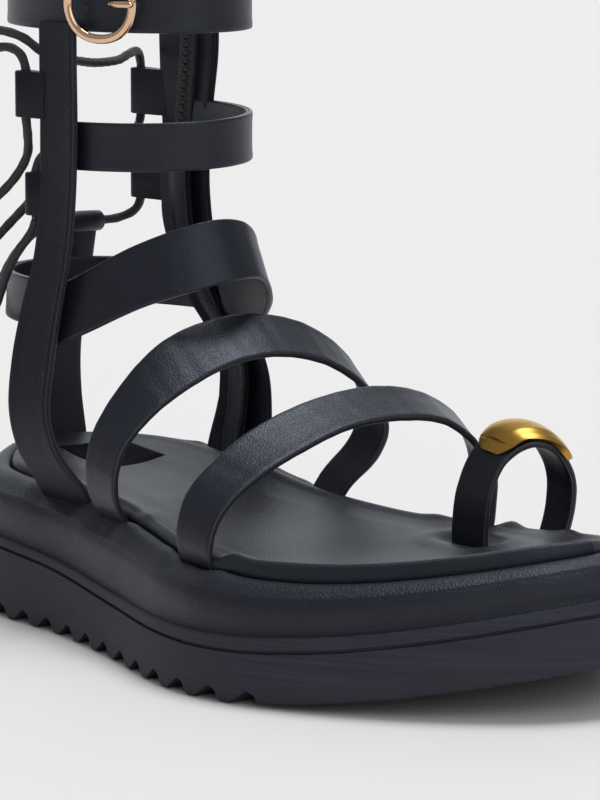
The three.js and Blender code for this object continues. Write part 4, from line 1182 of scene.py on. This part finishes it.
class SANDAL_OT_ankle_cage(bpy.types.Operator):
    """Posts, half rings, heel band, heel strap and lace tabs"""
    bl_idname = "sandal.ankle_cage"
    bl_label = "Ankle cage"

    def execute(self, context):
        skin, matt = finish("leather"), finish("post leather")
        turns = np.arange(-180, 180, 2.5)
        top = strap("top_strap", ring_rails(turns, *TOP_STRAP), leg_core, skin, closed=True)
        turns = np.linspace(-84, 102, 96)
        lift = 1.2 * np.sin(np.radians(turns))
        rails = ring_rails(turns, *(edge + lift for edge in UPPER_RING))
        upper = strap("upper_half_ring", rails, leg_core, skin, waves=0.03)
        turns = np.linspace(-92, 88.6, 100)
        high, low = column(LOWER_EDGE, 1)(turns), column(LOWER_EDGE, 2)(turns)
        flare = smoothstep(-turns, 40, 90)
        rails = ring_rails(turns, high, low, (69.6, 42.2, 29.4 + 2.5 * flare),
                           (65.2, 44.8, 31.2 + 5.5 * flare))
        lower = strap("lower_half_ring", rails, leg_core, skin, waves=0.04)
        turns = np.linspace(92, 282, 94)
        rails = ring_rails(turns, *HEEL_BAND, (71.5, 45, 31), (71, 46, 31.6))
        band = strap("heel_band", rails, leg_core, skin)
        outer_post = strap("lateral_post", post_rails(LATERAL_POST, 150), leg_core, matt, POST_LEATHER, 1.8)
        inner_post = strap("medial_post", post_rails(MEDIAL_POST, 150), leg_core, matt, POST_LEATHER, 0.65)
        slot = zip_rows(sizes()["zip_wide"] + 0.6)
        carve(inner_post, strap("slot", rails_of(slot, 60), leg_core, skin, 8.0, 4.0))
        heel = strap("heel_strap", rails_of(HEEL_STRAP, 80), heel_core, skin, LEATHER, 1.1)
        parts = [top, upper, lower, band, outer_post, inner_post, heel]
        parts.append(sleeve("heel_tunnel", HEEL_TUNNEL[:3], HEEL_TUNNEL[3], (1, 0, 0), skin))
        for name, (x, y, z0, z1, start) in TABS.items():
            parts.append(lace_tab(name + "_tab", x, y, z0, z1, start, matt))
        for obj in parts:
            keep(obj, "black_leather", "ankle_cage")
        return {"FINISHED"}


class SANDAL_OT_zip(bpy.types.Operator):
    """Zip tape, coil and slider in the medial post"""
    bl_idname = "sandal.zip"
    bl_label = "Zip"

    def execute(self, context):
        s = sizes()
        rows = zip_rows(s["zip_wide"])
        tucked = [(tuple(np.add(r, (0, 0.9, 0))), tuple(np.add(f, (0, -0.9, 0)))) for r, f in rows]
        tape = strap("zip_tape", rails_of(tucked, 90), leg_core, finish("tape"), 1.7, -0.8)
        keep(tape, "zip_tape", "zip_chain")
        a, b = rails_of(rows, int(122 / s["coil_pitch"]))
        mid, along, across = (a + b) / 2, np.gradient((a + b) / 2, axis=0), a - b
        normal = unit(np.cross(along, across))
        normal[normal[:, 0] < 0] *= -1
        along, across = unit(along), unit(across)
        points, turns = [], []
        for i in range(1, len(mid) - 1):
            side = 1 if i % 2 else -1
            for level in (-0.55, -2.75):
                points.append(mid[i] + across[i] * side * 0.75 + normal[i] * level)
                turns.append((across[i] + along[i] * 0.12 * side, normal[i]))
        teeth = pills("zip_coil", points, turns_from(turns), (1.35, 0.34, 0.42), finish("teeth"))
        keep(teeth, "zip_tape")
        guard = [((r[0], r[4] + 5.2, r[1]), (r[0], r[4] - 6.0, r[1])) for r in MEDIAL_POST[:9]]
        guard[-1] = ((29.4, 84.8 + 5.2, 131), (29.4, 84.8 - 6.0, 131))
        a, b = rails_of(guard, 130)
        sway = np.sin(np.arange(131) * 0.13) * 0.35 + np.sin(np.arange(131) * 0.37 + 1) * 0.2
        a[:, 1] += sway
        b[:, 1] += sway * 0.6
        flap = strap("zip_guard", (a, b), leg_core, finish("leather"), 1.3, -3.5, folds=0.85)
        keep(flap, "black_leather")
        top = mid[-4] + normal[-4] * 0.5
        points = [top, top + normal[-4] * 0.5, top + normal[-4] * 1.1 - np.array([0, 0, 7.5])]
        turn = turns_from([(across[-4], normal[-4])])
        for name, point, shape in zip(("slider", "slider_bridge", "slider_pull"), points,
                                      ((3.0, 3.9, 1.0), (1.1, 2.6, 1.3), (1.7, 6.2, 0.45))):
            keep(pills("zip_" + name, [point], turn, shape, finish("pale gold")), "pale_gold_metal")
        return {"FINISHED"}


class SANDAL_OT_buckle(bpy.types.Operator):
    """Buckle frame, prong and the strap's holes"""
    bl_idname = "sandal.buckle"
    bl_label = "Buckle"

    def execute(self, context):
        k = BUCKLE
        foot = on_ellipse(np.array([k["turn"]]), *CAGE_OVAL, k["z"])[0]
        out = ring_out(k["turn"])
        side = np.array([-out[1], out[0], 0])
        centre = foot + out * k["stand"]
        s, ids, around = Surface(), [], 96

        def at(t):
            """A point of the oval, which is a little squared."""
            c = math.cos(t)
            level = np.array([0, 0, math.sin(t) * k["tall"]])
            return centre + side * math.copysign(abs(c) ** 0.86, c) * k["wide"] + level

        a = np.arange(20) * 2 * np.pi / 20
        for i in range(around):
            t = 2 * math.pi * i / around
            here, along = at(t), unit(at(t + 0.03) - at(t - 0.03))
            u = np.cross(along, out)
            ids.append(s.add(here + np.cos(a)[:, None] * u * k["wire"]
                             + np.sin(a)[:, None] * out * k["wire"] * 0.86))
        ring = loft("buckle_oval", s, ids, finish("pale gold"), 60, closed=True)
        keep(ring, "pale_gold_metal", "buckle_frame")
        start = centre - out * (k["stand"] - 0.2) + side * 1.2
        line = [start, start + side * 0.8 + out * 1.6, centre + side * 4.2 + out * 0.2,
                centre + side * 7.5 + out * (k["wire"] + 0.55),
                centre + side * (k["wide"] + 0.6) + out * (k["wire"] + 0.75)]
        prong = tube("buckle_prong_pin", spline(line, 40), 0.95, 18, finish("pale gold"), ends=0.9)
        keep(prong, "pale_gold_metal", "buckle_prong")
        dots, turns = [], []
        for angle, z in STRAP_HOLES:
            n = ring_out(angle)
            dots.append(on_ellipse(np.array([angle]), *CAGE_OVAL, z)[0] - n * 0.02)
            turns.append((np.array([-n[1], n[0], 0]), n))
        keep(pills("strap_holes", dots, turns_from(turns), (0.8, 0.8, 0.1), finish("tape")), "black_leather")
        return {"FINISHED"}


class SANDAL_OT_laces(bpy.types.Operator):
    """The lace: held runs, slack runs and loose ends"""
    bl_idname = "sandal.laces"
    bl_label = "Laces"

    def execute(self, context):
        across = sizes()["lace"]
        skin = finish("cord")
        shape = dict(strands=2, pitch=9.0, relief=0.035, ends=0.7)
        for name, points, node in (("lace_held_top", LACE_TOP, "lace_top_run"),
                                   ("lace_held_low", LACE_LOW, "lace_low_run")):
            keep(tube(name, spline(points, 240), across / 2, 16, skin, **shape), "lace_cord", node)
        for name, points, node, end in (("lace_loop_high", SLACK_HIGH, "lace_slack_high", "bare"),
                                        ("lace_loop_low", SLACK_LOW, "lace_slack_low", "object"),
                                        ("lace_tail", SLACK_END, "lace_slack_end", "bare")):
            path = even(spline(points, 400), 200)
            run = tube(name, path, across / 2, 16, skin, **shape)
            keep(run, "lace_cord", node)
            across * MM
        return {"FINISHED"}


class SANDAL_OT_stitching(bpy.types.Operator):
    """Rows of stitches where the cage is sewn"""
    bl_idname = "sandal.stitching"
    bl_label = "Stitching"

    def execute(self, context):
        spacing = sizes()["stitch"]
        points, turns = [], []

        def run(line):
            """One row of stitches along a line."""
            line = np.asarray(line, float)
            line = even(line, max(int(steps_of(line).sum() / spacing), 2))
            tangent = np.gradient(line, axis=0)
            for p, t in zip(line, tangent):
                points.append(p)
                turns.append((t, np.array([p[0], p[1] - leg_core(p)[1], 0])))

        a, b = post_rails(LATERAL_POST, 120)
        line = (b * 0.9 + a * 0.1)[18:112]
        line[:, 0] -= 1.78
        run(line)
        for x, y, z0, z1, _ in (TABS["lateral_high"], TABS["lateral_low"]):
            run([(x - 0.98, y - 3.4, z0 + 0.8), (x - 0.98, y - 3.4, z1 - 0.8)])
        for x, y, z0, z1, _ in (TABS["medial_high"], TABS["medial_low"]):
            for push in (0.98, -0.98):
                run([(x + push, y - 4.2, z0 + 0.8), (x + push, y - 4.2, z1 - 0.8)])
        rows = pills("stitches", points, turns_from(turns), (0.92, 0.2, 0.16), finish("thread"))
        keep(rows, "black_leather")
        return {"FINISHED"}


class SANDAL_PT_panel(bpy.types.Panel):
    """Sizes, colours and pieces of the sandal"""
    bl_idname = "SANDAL_PT_panel"
    bl_label = "Gladiator Sandal"
    bl_space_type = "VIEW_3D"
    bl_region_type = "UI"
    bl_category = "Sandal"

    def draw(self, context):
        for group in (context.scene.sandal_sizes, context.scene.sandal_colours):
            box = self.layout.box()
            for key in type(group).__annotations__:
                box.prop(group, key)
        for operator in OPERATORS:
            self.layout.operator(operator.bl_idname)


OPERATORS = (SANDAL_OT_stage, SANDAL_OT_laces, SANDAL_OT_sole, SANDAL_OT_footbed, SANDAL_OT_foot_straps,
             SANDAL_OT_toe_ring, SANDAL_OT_ankle_cage, SANDAL_OT_zip, SANDAL_OT_buckle, SANDAL_OT_stitching)
CLASSES = (SandalColours, SandalSizes, *OPERATORS, SANDAL_PT_panel)


def register():
    for cls in CLASSES:
        bpy.utils.register_class(cls)
    bpy.types.Scene.sandal_colours = bpy.props.PointerProperty(type=SandalColours)
    bpy.types.Scene.sandal_sizes = bpy.props.PointerProperty(type=SandalSizes)


def unregister():
    del bpy.types.Scene.sandal_sizes
    del bpy.types.Scene.sandal_colours
    for cls in reversed(CLASSES):
        bpy.utils.unregister_class(cls)


def main():
    register()
    for operator in OPERATORS:
        group, name = operator.bl_idname.split(".")
        getattr(getattr(bpy.ops, group), name)()


if __name__ == "__main__":
    main()
